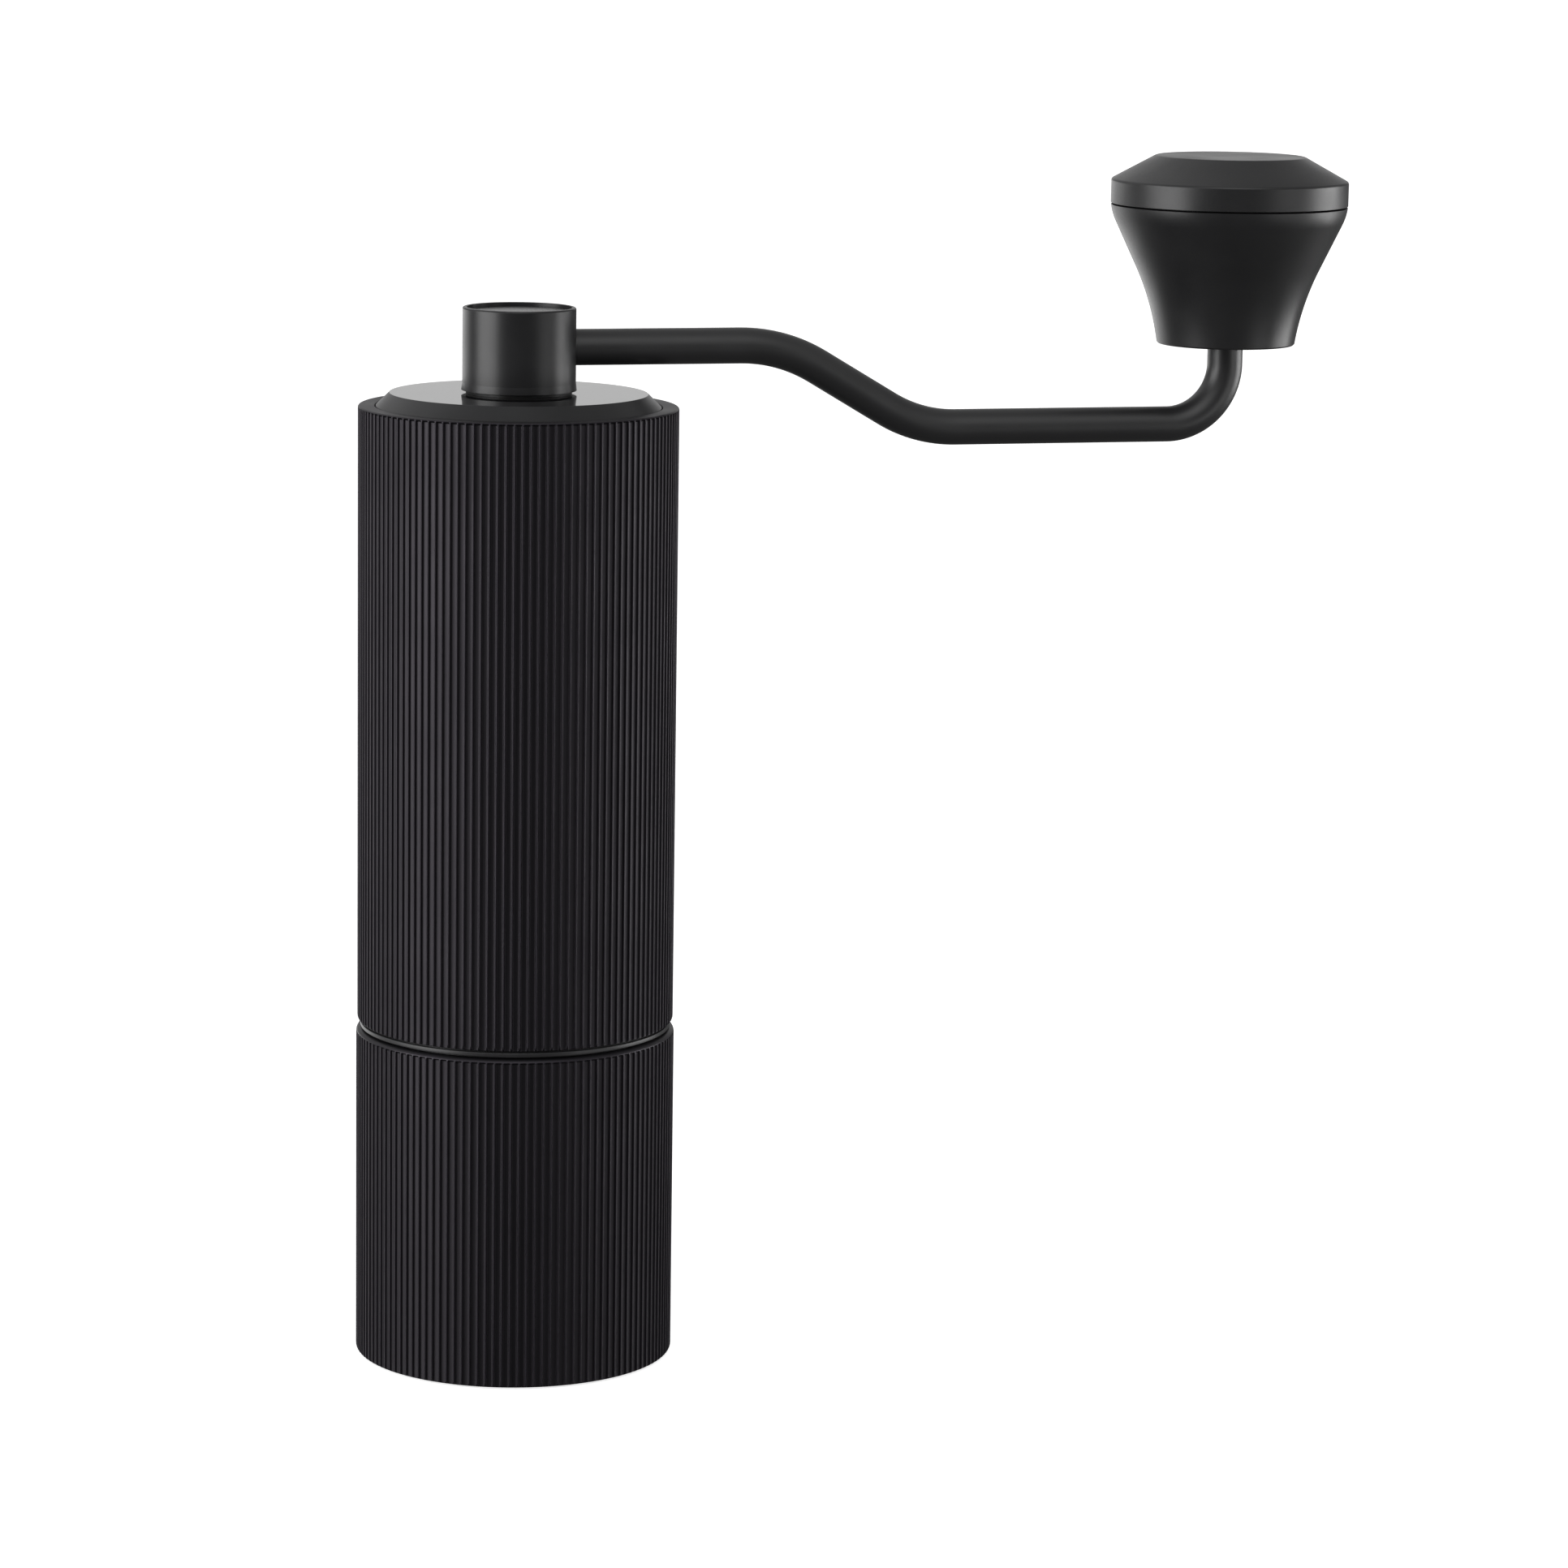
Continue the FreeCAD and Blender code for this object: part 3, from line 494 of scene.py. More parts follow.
def bush_plastic():
    """Turned acetal, which lets a little light in."""
    finish = Finish("bush_acetal", (0.62, 0.6, 0.55), 0.45)
    finish.shader.inputs["Subsurface Weight"].default_value = 0.08
    finish.shader.inputs["Subsurface Radius"].default_value = (0.001, 0.0008, 0.0006)
    finish.set_roughness(finish.ramp(finish.noise(1.5, 4), 0.3, 0.7, -0.06, 0.06))
    finish.bump(finish.noise(0.15, 2, place=finish.lathe_place()), 0.003)
    return finish.material


CUP_R = reach("catch_cup")
BODY_R = reach("barrel_shell")
CUP_RIBS = ribbed("cup_ribs_black", CUP_R)
BARREL_RIBS = ribbed("barrel_ribs_black", BODY_R)
SATIN_BLACK = anodised("housing_satin_black", (0.02, 0.02, 0.021), 0.36)
LID_SATIN = anodised("lid_satin_black", (0.012, 0.012, 0.013), 0.34)
LID_POLISHED = polished_black()
HUB_BLACK = anodised("hub_satin_black", (0.0105, 0.0105, 0.0115), 0.35)
CAP_BLACK = anodised("hub_cap_black", (0.012, 0.012, 0.013), 0.25, grain=0.0004)
ARM_BLACK = coated_black()
KNOB_BLACK = moulded_black()
PAD_RUBBER = rubber("pad_silicone", (0.022, 0.022, 0.023), 0.7)
SEAL_RUBBER = rubber("seal_rubber", (0.012, 0.012, 0.012), 0.5)
BUSH_DARK = rubber("bush_dark_nylon", (0.012, 0.012, 0.012), 0.45)
BUSH_PLASTIC = bush_plastic()
BURR_STEEL = turned_metal("burr_steel", (0.50, 0.50, 0.51), 0.30)
SHAFT_STEEL = turned_metal("shaft_steel", (0.56, 0.56, 0.57), 0.24)
BEARING_STEEL = turned_metal("bearing_steel", (0.62, 0.62, 0.64), 0.16, 0.0008)
SPRING_STEEL = turned_metal("spring_steel", (0.32, 0.32, 0.34), 0.33)
SCREW_STEEL = turned_metal("screw_steel", (0.16, 0.16, 0.17), 0.38)
BRIDGE_METAL = turned_metal("bridge_aluminium", (0.60, 0.60, 0.61), 0.38, 0.003)
CAGE_BRASS = turned_metal("cage_brass", (0.66, 0.50, 0.24), 0.3)
DIAL_METAL = anodised("dial_anodised", (0.03, 0.03, 0.034), 0.34)

FINISH_OF_SLOT = {
    "ribbed_black": BARREL_RIBS,
    "satin_black_metal": SATIN_BLACK,
    "hub_black": HUB_BLACK,
    "arm_black": ARM_BLACK,
    "knob_black": KNOB_BLACK,
    "pad_rubber": PAD_RUBBER,
    "seal_rubber": SEAL_RUBBER,
    "burr_steel": BURR_STEEL,
    "shaft_steel": SHAFT_STEEL,
    "bearing_steel": BEARING_STEEL,
    "spring_steel": SPRING_STEEL,
    "screw_steel": SCREW_STEEL,
    "bridge_metal": BRIDGE_METAL,
    "cage_brass": CAGE_BRASS,
    "dial_metal": DIAL_METAL,
    "bush_plastic": BUSH_PLASTIC,
}


def dress_cad_nodes():
    for part in frame["record"]["subparts"]:
        mesh = frame["nodes"][part["node"]].data
        mesh.materials.clear()
        mesh.materials.append(FINISH_OF_SLOT[part["material_slot"]])


# ---------------------------------------------------------------- ribbed shells


def rib_angles():
    """Column angles, closer together on a groove's wall and over a crest."""
    pitch = 2 * math.pi / RIBS
    shares_of_half = (0.5, 0.73, 0.86, 0.93, 0.98, 1.02, 1.08, 1.16, 1.25)
    side = [GROOVE_HALF / BODY_R * share for share in shares_of_half]
    offsets = [-s for s in reversed(side)] + [0.0] + side + [pitch / 2]
    return [pitch * i + offset for i in range(RIBS) for offset in offsets]


def groove_depth(angle):
    """How deep the surface lies at an angle: a flat-floored groove between round crests."""
    pitch = 2 * math.pi / RIBS
    from_middle = abs((angle + pitch / 2) % pitch - pitch / 2) * BODY_R
    from_crest = pitch / 2 * BODY_R - from_middle
    groove = GROOVE_DEPTH * math.sqrt(max(0.0, 1 - (from_middle / GROOVE_HALF) ** GROOVE_SQUARENESS))
    crest = CREST_R - math.sqrt(max(0.0, CREST_R**2 - from_crest**2)) if from_crest < CREST_R else 0.0
    return max(groove, crest)


def ribbed_shell(name, corners, material, crest_r, groove_top):
    """A shell whose grooves close at a level, and run out through the rounding at its foot."""
    bore_limit = crest_r - 3 * MM

    def shape(radius, z, angle):
        if radius < bore_limit:
            return radius
        closing = max(0.0, min(1.0, (groove_top - z) / GROOVE_END))
        depth = groove_depth(angle) * math.sin(closing * math.pi / 2)
        return min(radius, crest_r - depth)

    levels = [groove_top - GROOVE_END * share for share in (0, 0.12, 0.3, 0.5, 0.75, 1.0)]
    return turned(name, corners, material, levels=levels, shape=shape, angles=rib_angles())


def barrel():
    foot, rim = low("barrel_shell"), high("barrel_shell")
    mouth_r = reach("lid") + 0.15 * MM
    bore_r = reach("upper_bridge") + SEATED
    ledge = low("lid") - 0.05 * MM
    corners = [
        (bore_r, foot, 0.15 * MM),
        (BODY_R, foot, 0.8 * MM),
        (BODY_R, rim, 0.35 * MM),
        (mouth_r, rim, 0.2 * MM),
        (mouth_r, ledge),
        (bore_r, ledge, 0.1 * MM),
    ]
    piece = ribbed_shell("barrel", corners, BARREL_RIBS, BODY_R, rim - BARREL_BAND)
    place(piece, "barrel", "ribbed_black", "barrel_shell")


def cup():
    base, top = low("catch_cup"), high("catch_cup")
    pad_r = reach("cup_foot_pad") + SEATED
    pad_top = high("cup_foot_pad")
    bore_r = reach("spigot_o_rings") + 0.08 * MM
    corners = [
        (0, pad_top),
        (pad_r, pad_top),
        (pad_r, base, 0.1 * MM),
        (CUP_R, base, 0.6 * MM),
        (CUP_R, top, 0.8 * MM),
        (bore_r, top, 0.45 * MM),
        (bore_r, CUP_FLOOR, 4 * MM),
        (0, CUP_FLOOR),
    ]
    piece = ribbed_shell("cup", corners, CUP_RIBS, CUP_R, top - CUP_BAND)
    place(piece, "cup", "ribbed_black", "catch_cup")


def foot_pad():
    """A disc with a shallow groove pressed round its underside."""
    top, pad_r = high("cup_foot_pad"), reach("cup_foot_pad")
    groove_in, groove_out, slant, depth = 14.5 * MM, 15.5 * MM, 0.1 * MM, 0.25 * MM
    corners = [
        (0, 0),
        (groove_in, 0),
        (groove_in + slant, depth),
        (groove_out - slant, depth),
        (groove_out, 0),
        (pad_r, 0, 0.4 * MM),
        (pad_r, top),
        (0, top),
    ]
    place(turned("foot_pad", corners, PAD_RUBBER), "cup", "pad_rubber", "cup_foot_pad")


# ---------------------------------------------------------------- inside the barrel


def spider(name, node, ring_r, bearing, arm_levels, boss_levels, material, slot):
    """Three arms and the boss that holds a bearing, with a groove for its snap ring."""
    seat_z, bearing_r = low(bearing), reach(bearing)
    boss_low, boss_high = boss_levels
    arm_low, arm_high = arm_levels
    seat_r = bearing_r - 0.8 * MM
    ring_groove_r = bearing_r + 0.6 * MM
    bearing_top = seat_z + BEARING_HEIGHT
    groove_top = bearing_top + 0.7 * MM
    corners = [
        (seat_r, boss_low, 0.2 * MM),
        (BOSS_R, boss_low, 0.8 * MM),
        (BOSS_R, boss_high, 0.8 * MM),
        (bearing_r, boss_high, 0.3 * MM),
        (bearing_r, groove_top),
        (ring_groove_r, groove_top),
        (ring_groove_r, bearing_top),
        (bearing_r, bearing_top),
        (bearing_r, seat_z),
        (seat_r, seat_z),
    ]
    boss = turned(f"{name}_boss", corners, material, columns=120)
    place(boss, "barrel", slot, node)
    sunk = 0.4 * MM
    start = Vector((BOSS_R - sunk, 0, arm_low))
    size = Vector((ring_r - BOSS_R + sunk + 0.2 * MM, 5 * MM, arm_high - arm_low))
    for i, angle in enumerate(ARM_ANGLES):
        arm = bevelled_bar(f"{name}_arm_{i + 1}", start, size, angle, material)
        place(arm, "barrel", slot, node)


def housing():
    seam_r = reach("lower_housing")
    cup_top, barrel_foot = high("catch_cup"), low("barrel_shell")
    sleeve_r = reach("upper_bridge")
    spigot_r = reach("spigot_o_rings") - 0.17 * MM
    seat_r = reach("outer_burr") + SEATED
    shoulder = high("outer_burr") + SEATED
    foot, top = low("lower_housing"), high("lower_housing")
    groove_half = 0.6 * MM
    shelf_low, seam_low = cup_top + 0.1 * MM, cup_top + 0.27 * MM
    seam_high, shelf_high = barrel_foot - 0.2 * MM, barrel_foot - 0.05 * MM
    corners = [(seat_r, foot, 0.3 * MM), (spigot_r, foot, 0.6 * MM)]
    for z in SPIGOT_RING_LEVELS:
        corners += [
            (spigot_r, z - groove_half, 0.08 * MM),
            (SPIGOT_GROOVE_R, z - groove_half),
            (SPIGOT_GROOVE_R, z + groove_half),
            (spigot_r, z + groove_half, 0.08 * MM),
        ]
    corners += [
        (spigot_r, shelf_low),
        (SEAM_SHADOW_R, shelf_low),
        (SEAM_SHADOW_R, seam_low),
        (seam_r, seam_low, 0.16 * MM),
        (seam_r, seam_high, 0.16 * MM),
        (SEAM_SHADOW_R, seam_high),
        (SEAM_SHADOW_R, shelf_high),
        (sleeve_r, shelf_high),
        (sleeve_r, top),
        (sleeve_r - 0.6 * MM, top, 0.1 * MM),
        (CHUTE_R, top - 4.5 * MM, 0.8 * MM),
        (CHUTE_R, shoulder, 0.2 * MM),
        (seat_r, shoulder),
    ]
    place(turned("housing", corners, SATIN_BLACK), "barrel", "satin_black_metal", "lower_housing")
    spider(
        "lower_spider", "lower_housing", CHUTE_R, "lower_bearing_outer_race",
        LOWER_ARMS, LOWER_BOSS, SATIN_BLACK, "satin_black_metal",
    )


def bridge():
    ring_r = reach("upper_bridge")
    inner_r = ring_r - 1.8 * MM
    bottom, top = BRIDGE_RING
    corners = [
        (inner_r, bottom, 0.5 * MM),
        (ring_r, bottom, 0.15 * MM),
        (ring_r, top, 0.15 * MM),
        (inner_r, top, 0.5 * MM),
    ]
    place(turned("bridge_ring", corners, BRIDGE_METAL), "barrel", "bridge_metal", "upper_bridge")
    boss_levels = (low("upper_bridge"), high("upper_bridge"))
    spider(
        "bridge", "upper_bridge", inner_r, "upper_bearing_outer_race",
        BRIDGE_ARMS, boss_levels, BRIDGE_METAL, "bridge_metal",
    )


def bearing(stem):
    """A bearing's races and shields, which show when the lid or the barrel is off."""
    foot, top = low(f"{stem}_outer_race"), high(f"{stem}_outer_race")
    outer_r, inner_r = reach(f"{stem}_outer_race"), reach(f"{stem}_inner_race")
    land_r = reach(f"{stem}_shields") + SEATED
    middle = (foot + top) / 2
    raceway_half, raceway_depth = 0.62 * MM, 0.1 * MM
    outer = [
        (land_r, foot, 0.1 * MM),
        (outer_r, foot, 0.25 * MM),
        (outer_r, top, 0.25 * MM),
        (land_r, top, 0.1 * MM),
        (land_r, middle + raceway_half),
        (land_r + raceway_depth, middle),
        (land_r, middle - raceway_half),
    ]
    piece = turned(f"{stem}_outer", outer, BEARING_STEEL, columns=96)
    place(piece, "barrel", "bearing_steel", f"{stem}_outer_race")
    inner = [
        (SHAFT_R, foot, 0.15 * MM),
        (inner_r, foot, 0.1 * MM),
        (inner_r, middle - raceway_half),
        (inner_r - raceway_depth, middle),
        (inner_r, middle + raceway_half),
        (inner_r, top, 0.1 * MM),
        (SHAFT_R, top, 0.15 * MM),
    ]
    piece = turned(f"{stem}_inner", inner, BEARING_STEEL, columns=96)
    place(piece, "shaft", "bearing_steel", f"{stem}_inner_race")
    sheet, lip, lip_width = 0.22 * MM, 0.3 * MM, 0.4 * MM
    for side, z in (("under", foot + 0.2 * MM), ("top", top - 0.5 * MM)):
        shield = [
            (inner_r + 0.1 * MM, z),
            (land_r - SEATED, z),
            (land_r - SEATED, z + lip),
            (land_r - lip_width, z + lip, 0.05 * MM),
            (land_r - lip_width - 0.1 * MM, z + sheet, 0.05 * MM),
            (inner_r + 0.1 * MM, z + sheet),
        ]
        piece = turned(f"{stem}_shield_{side}", shield, BEARING_STEEL, columns=96)
        place(piece, "barrel", "bearing_steel", f"{stem}_shields")


def bearings():
    for stem in ("lower_bearing", "upper_bearing"):
        bearing(stem)


def shaft():
    foot, top = low("drive_shaft"), high("drive_shaft")
    journal_foot, journal_top = JOURNAL
    clip = low("shaft_circlip") - SEATED
    clip_groove_r, clip_groove = 3.65 * MM, 0.75 * MM
    corners = [
        (0, foot),
        (THREAD_R, foot, 0.5 * MM),
        (THREAD_R, THREAD_TOP),
        (HEXAGON_CORNER_R, THREAD_TOP, 0.3 * MM),
        (HEXAGON_CORNER_R, journal_foot),
        (SHAFT_R, journal_foot, 0.2 * MM),
        (SHAFT_R, clip),
        (clip_groove_r, clip),
        (clip_groove_r, clip + clip_groove),
        (SHAFT_R, clip + clip_groove),
        (SHAFT_R, journal_top, 0.2 * MM),
        (HEXAGON_CORNER_R, journal_top + 0.02 * MM),
        (HEXAGON_CORNER_R, top, 1.5 * MM),
        (0, top),
    ]

    def shape(radius, z, angle):
        if z < THREAD_TOP - 0.4 * MM and radius > 3 * MM:
            turns = z / THREAD_PITCH - angle / (2 * math.pi)
            return radius - THREAD_DEPTH * abs(2 * (turns % 1) - 1)
        if radius > SHAFT_R:
            return min(radius, hexagon_radius(SHAFT_FLATS, angle))
        return radius

    levels = [foot + 0.6 * MM + THREAD_PITCH * i / 8 for i in range(80)]
    levels += [top - 2 * MM, journal_foot + 0.3 * MM]
    piece = turned("shaft", corners, SHAFT_STEEL, columns=96, levels=levels, shape=shape)
    place(piece, "shaft", "shaft_steel", "drive_shaft")


def saw(value):
    """A cutting tooth's height, from 0 to 1, over each whole step of value."""
    back = 0.78
    share = value % 1
    return share / back if share < back else (1 - share) / (1 - back)


def inner_burr():
    """Fine teeth round the foot, and deep flutes that draw the beans down the cone."""
    foot, band_top = FINE_BAND
    boss_foot, top = low("inner_burr"), high("inner_burr")
    foot_r, band_r, top_r = reach("inner_burr"), 16.4 * MM, 8 * MM
    boss_r, bore_r = 11.5 * MM, 4 * MM
    pocket_r, pocket_floor = 6.3 * MM, 60 * MM
    corners = [
        (bore_r, boss_foot),
        (boss_r, boss_foot, 0.3 * MM),
        (boss_r, foot),
        (foot_r, foot, 0.15 * MM),
        (band_r, band_top),
        (top_r, top, 0.6 * MM),
        (pocket_r, top, 0.2 * MM),
        (pocket_r, pocket_floor),
        (bore_r, pocket_floor),
    ]

    def shape(radius, z, angle):
        if radius < bore_r + 0.1 * MM:
            return hexagon_radius(BURR_FLATS, angle)
        if z < foot - 0.1 * MM or radius < pocket_r + 0.7 * MM:
            return radius
        fine = saw(angle * FINE_TEETH / (2 * math.pi) + (z - foot) / (9 * MM))
        coarse = saw(angle * COARSE_FLUTES / (2 * math.pi) - (z - band_top) / (16 * MM))
        cone = share_of(z, band_top - 0.6 * MM, band_top + 2.4 * MM)
        below_top = share_of(z, top, top - 1.5 * MM)
        fine_depth = 0.32 * MM * (1 - cone)
        coarse_depth = (0.3 + 1.5 * cone) * MM * cone * below_top
        return radius - fine_depth * (1 - fine) - coarse_depth * (1 - coarse)

    levels = [foot + 0.2 * MM + i * 0.35 * MM for i in range(46)]
    piece = turned("inner_burr", corners, BURR_STEEL, columns=504, levels=levels, shape=shape)
    place(piece, "burr", "burr_steel", "inner_burr")


def outer_burr():
    band_top = FINE_BAND[1]
    seat_r, foot, top = reach("outer_burr"), low("outer_burr"), high("outer_burr")
    band_r, foot_r, throat_r = 16.75 * MM, 17.45 * MM, 14.6 * MM
    corners = [
        (foot_r, foot, 0.1 * MM),
        (seat_r, foot, 0.4 * MM),
        (seat_r, top, 0.4 * MM),
        (throat_r, top, 0.2 * MM),
        (band_r, band_top),
    ]

    def shape(radius, z, angle):
        if radius > foot_r + 0.6 * MM:
            return radius
        fine = saw(-angle * FINE_TEETH / (2 * math.pi) + (z - foot) / (9 * MM))
        coarse = saw(-angle * 3 * COARSE_FLUTES / (2 * math.pi) + (z - band_top) / (22 * MM))
        upper = share_of(z, band_top, band_top + 2.5 * MM)
        fine_depth, coarse_depth = 0.3 * MM * (1 - upper), 0.9 * MM * upper
        return radius + fine_depth * (1 - fine) + coarse_depth * (1 - coarse)

    levels = [foot + 0.2 * MM + i * 0.4 * MM for i in range(40)]
    piece = turned("outer_burr", corners, BURR_STEEL, columns=504, levels=levels, shape=shape)
    place(piece, "barrel", "burr_steel", "outer_burr")


def dial():
    """A disc on a short collar, with a finger scallop for each click."""
    foot, top = low("adjuster_dial"), high("adjuster_dial")
    bore_r, collar_r, collar_top = 3.5 * MM, 7 * MM, foot + 2 * MM
    scallop_r, scallop_centre = 2.4 * MM, DIAL_R + 1.5 * MM
    corners = [
        (bore_r, foot, 0.2 * MM),
        (collar_r, foot, 0.5 * MM),
        (collar_r, collar_top, 0.3 * MM),
        (DIAL_R, collar_top, 0.8 * MM),
        (DIAL_R, top, 0.5 * MM),
        (bore_r, top),
    ]

    def shape(radius, z, angle):
        if radius < 10 * MM:
            return radius
        step = 2 * math.pi / CLICKS
        off = abs((angle + step / 2) % step - step / 2)
        across = scallop_centre * math.sin(off)
        if across >= scallop_r:
            return radius
        bite = scallop_centre * math.cos(off) - math.sqrt(scallop_r**2 - across**2)
        return min(radius, bite)

    piece = turned("dial", corners, DIAL_METAL, columns=360, shape=shape)
    place(piece, "dial", "dial_metal", "adjuster_dial")


# ---------------------------------------------------------------- lid and crank


def o_ring(name, inner_r, wire, z, body, node):
    section = []
    for degrees in range(0, 360, 20):
        angle = math.radians(degrees)
        section.append((inner_r + wire / 2 * (1 + math.cos(angle)), z + wire / 2 * math.sin(angle)))
    place(turned(name, section, SEAL_RUBBER), body, "seal_rubber", node)


def seals():
    names = ("spigot_o_ring_low", "spigot_o_ring_high")
    for name, level in zip(names, SPIGOT_RING_LEVELS):
        o_ring(name, SPIGOT_GROOVE_R, SPIGOT_WIRE, level, "barrel", "spigot_o_rings")
    middle = (low("lid_o_ring") + high("lid_o_ring")) / 2
    o_ring("lid_seal", reach("lid") - 0.73 * MM, LID_SEAL_WIRE, middle, "lid", "lid_o_ring")


def lid():
    lid_r, foot, top = reach("lid"), low("lid"), high("lid")
    hollow_top = top - 1.9 * MM
    skirt_r = lid_r - 1.6 * MM
    groove_r = lid_r - 0.75 * MM
    groove_low, groove_high = LID_SEAL_GROOVE
    corners = [
        (LID_BORE_R, LID_BOSS_FOOT),
        (LID_BOSS_R, LID_BOSS_FOOT, 0.5 * MM),
        (LID_BOSS_R, hollow_top, 0.6 * MM),
        (skirt_r, hollow_top, 1.0 * MM),
        (skirt_r, foot, 0.3 * MM),
        (lid_r, foot, 0.3 * MM),
        (lid_r, groove_low),
        (groove_r, groove_low),
        (groove_r, groove_high),
        (lid_r, groove_high),
        (lid_r, LID_SHOULDER, 0.2 * MM),
        (LID_TOP_R, top, 0.12 * MM),
        (LID_BORE_R, top, 0.1 * MM),
    ]
    plate = turned("lid_plate", corners, LID_SATIN, columns=256)
    plate.data.materials.append(LID_POLISHED)
    for face in plate.data.polygons:
        if face.center.z > top - 0.02 * MM:
            face.material_index = 1
    place(plate, "lid", "satin_black_metal", "lid")


def lid_bush():
    bore_r = reach("hub_socket") + RUNNING
    sleeve_r, flange_r = LID_BORE_R - SEATED, reach("lid_bush")
    foot, flange_top = low("lid_bush"), high("lid_bush")
    flange_foot = high("lid") + SEATED
    corners = [
        (bore_r, foot, 0.2 * MM),
        (sleeve_r, foot, 0.2 * MM),
        (sleeve_r, flange_foot),
        (flange_r, flange_foot),
        (flange_r, flange_top, 0.1 * MM),
        (bore_r, flange_top),
    ]
    place(turned("lid_bush_ring", corners, BUSH_DARK), "lid", "bush_plastic", "lid_bush")


def hub():
    foot, top = low("crank_hub"), high("crank_hub")
    flare_r = reach("crank_hub")
    hub_r = flare_r - 0.15 * MM
    recess_r, recess_floor = reach("hub_cap") + SEATED, low("hub_cap")
    socket_r, socket_top = reach("hub_socket") + SEATED, foot + 3.4 * MM
    corners = [
        (socket_r, foot, 0.1 * MM),
        (flare_r, foot, 0.04 * MM),
        (hub_r, foot + 1.2 * MM, 2 * MM),
        (hub_r, top, 0.3 * MM),
        (recess_r, top, 0.12 * MM),
        (recess_r, recess_floor),
        (0, recess_floor),
        (0, socket_top),
        (socket_r, socket_top),
    ]
    place(turned("hub", corners, HUB_BLACK, columns=192), "crank", "hub_black", "crank_hub")


def hub_cap():
    """A thin disc, very slightly dished."""
    cap_r, foot, top = reach("hub_cap"), low("hub_cap") + SEATED, high("hub_cap")
    corners = [
        (0, foot),
        (cap_r, foot),
        (cap_r, top, 0.15 * MM),
        (cap_r * 0.6, top - 0.05 * MM),
        (0, top - 0.07 * MM),
    ]
    place(turned("hub_cap_disc", corners, CAP_BLACK, columns=192), "crank", "hub_black", "hub_cap")


def drive_socket():
    socket_r, foot, top = reach("hub_socket"), low("hub_socket"), high("hub_socket")
    bore_r, bore_top = 4 * MM, high("drive_shaft") + 0.4 * MM
    clip = low("hub_circlip") - SEATED
    clip_groove_r, clip_groove = 5.7 * MM, 0.6 * MM
    corners = [
        (bore_r, foot, 0.1 * MM),
        (socket_r, foot, 0.4 * MM),
        (socket_r, clip),
        (clip_groove_r, clip),
        (clip_groove_r, clip + clip_groove),
        (socket_r, clip + clip_groove),
        (socket_r, top),
        (0, top),
        (0, bore_top),
        (bore_r, bore_top),
    ]

    def shape(radius, z, angle):
        on_bore = bore_r - 0.5 * MM < radius < bore_r + 0.3 * MM
        return hexagon_radius(SOCKET_FLATS, angle) if on_bore else radius

    piece = turned("drive_socket", corners, SHAFT_STEEL, columns=144, shape=shape)
    place(piece, "crank", "shaft_steel", "hub_socket")


def arm():
    box_low, box_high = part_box("crank_arm")
    rod_r = box_high.y
    knob_x = box_high.x - rod_r
    arm_low = box_low.z + rod_r
    arm_high = low("arm_set_screw") - SEATED - rod_r
    corners = [
        (box_low.x, arm_high),
        (BEND_START, arm_high, BEND_RADII[0]),
        (BEND_END, arm_low, BEND_RADII[1]),
        (knob_x, arm_low, BEND_RADII[2]),
        (knob_x, PIN_FOOT),
    ]
    path = rounded(corners, BEND_STEP)
    place(swept("arm", path, rod_r, ARM_BLACK), "crank", "arm_black", "crank_arm")
    pin_low, pin_top = PIN_FOOT - 1 * MM, box_high.z
    pin = [
        (0, pin_low),
        (PIN_R, pin_low),
        (PIN_R, pin_top, 0.3 * MM),
        (PIN_BORE_R, pin_top, 0.2 * MM),
        (PIN_BORE_R, pin_top - PIN_BORE_DEPTH),
        (0, pin_top - PIN_BORE_DEPTH),
    ]
    piece = turned("knob_pin", pin, SHAFT_STEEL, columns=64, centre=knob_x)
    place(piece, "crank", "arm_black", "crank_arm")


# ---------------------------------------------------------------- knob


def knob_axis():
    box_low, box_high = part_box("knob_cap")
    return (box_low.x + box_high.x) / 2


def curve(start, direction, end, steps):
    """Points of the arc that leaves start in a direction and comes to end."""
    chord = end - start
    normal = Vector((-direction.y, direction.x))
    radius = chord.length_squared / (2 * chord.dot(normal))
    centre = start + normal * radius
    first = start - centre
    turn = 2 * math.asin(chord.length / (2 * abs(radius)))
    side = 1 if radius > 0 else -1
    return [centre + Matrix.Rotation(side * turn * i / steps, 2) @ first for i in range(steps + 1)]


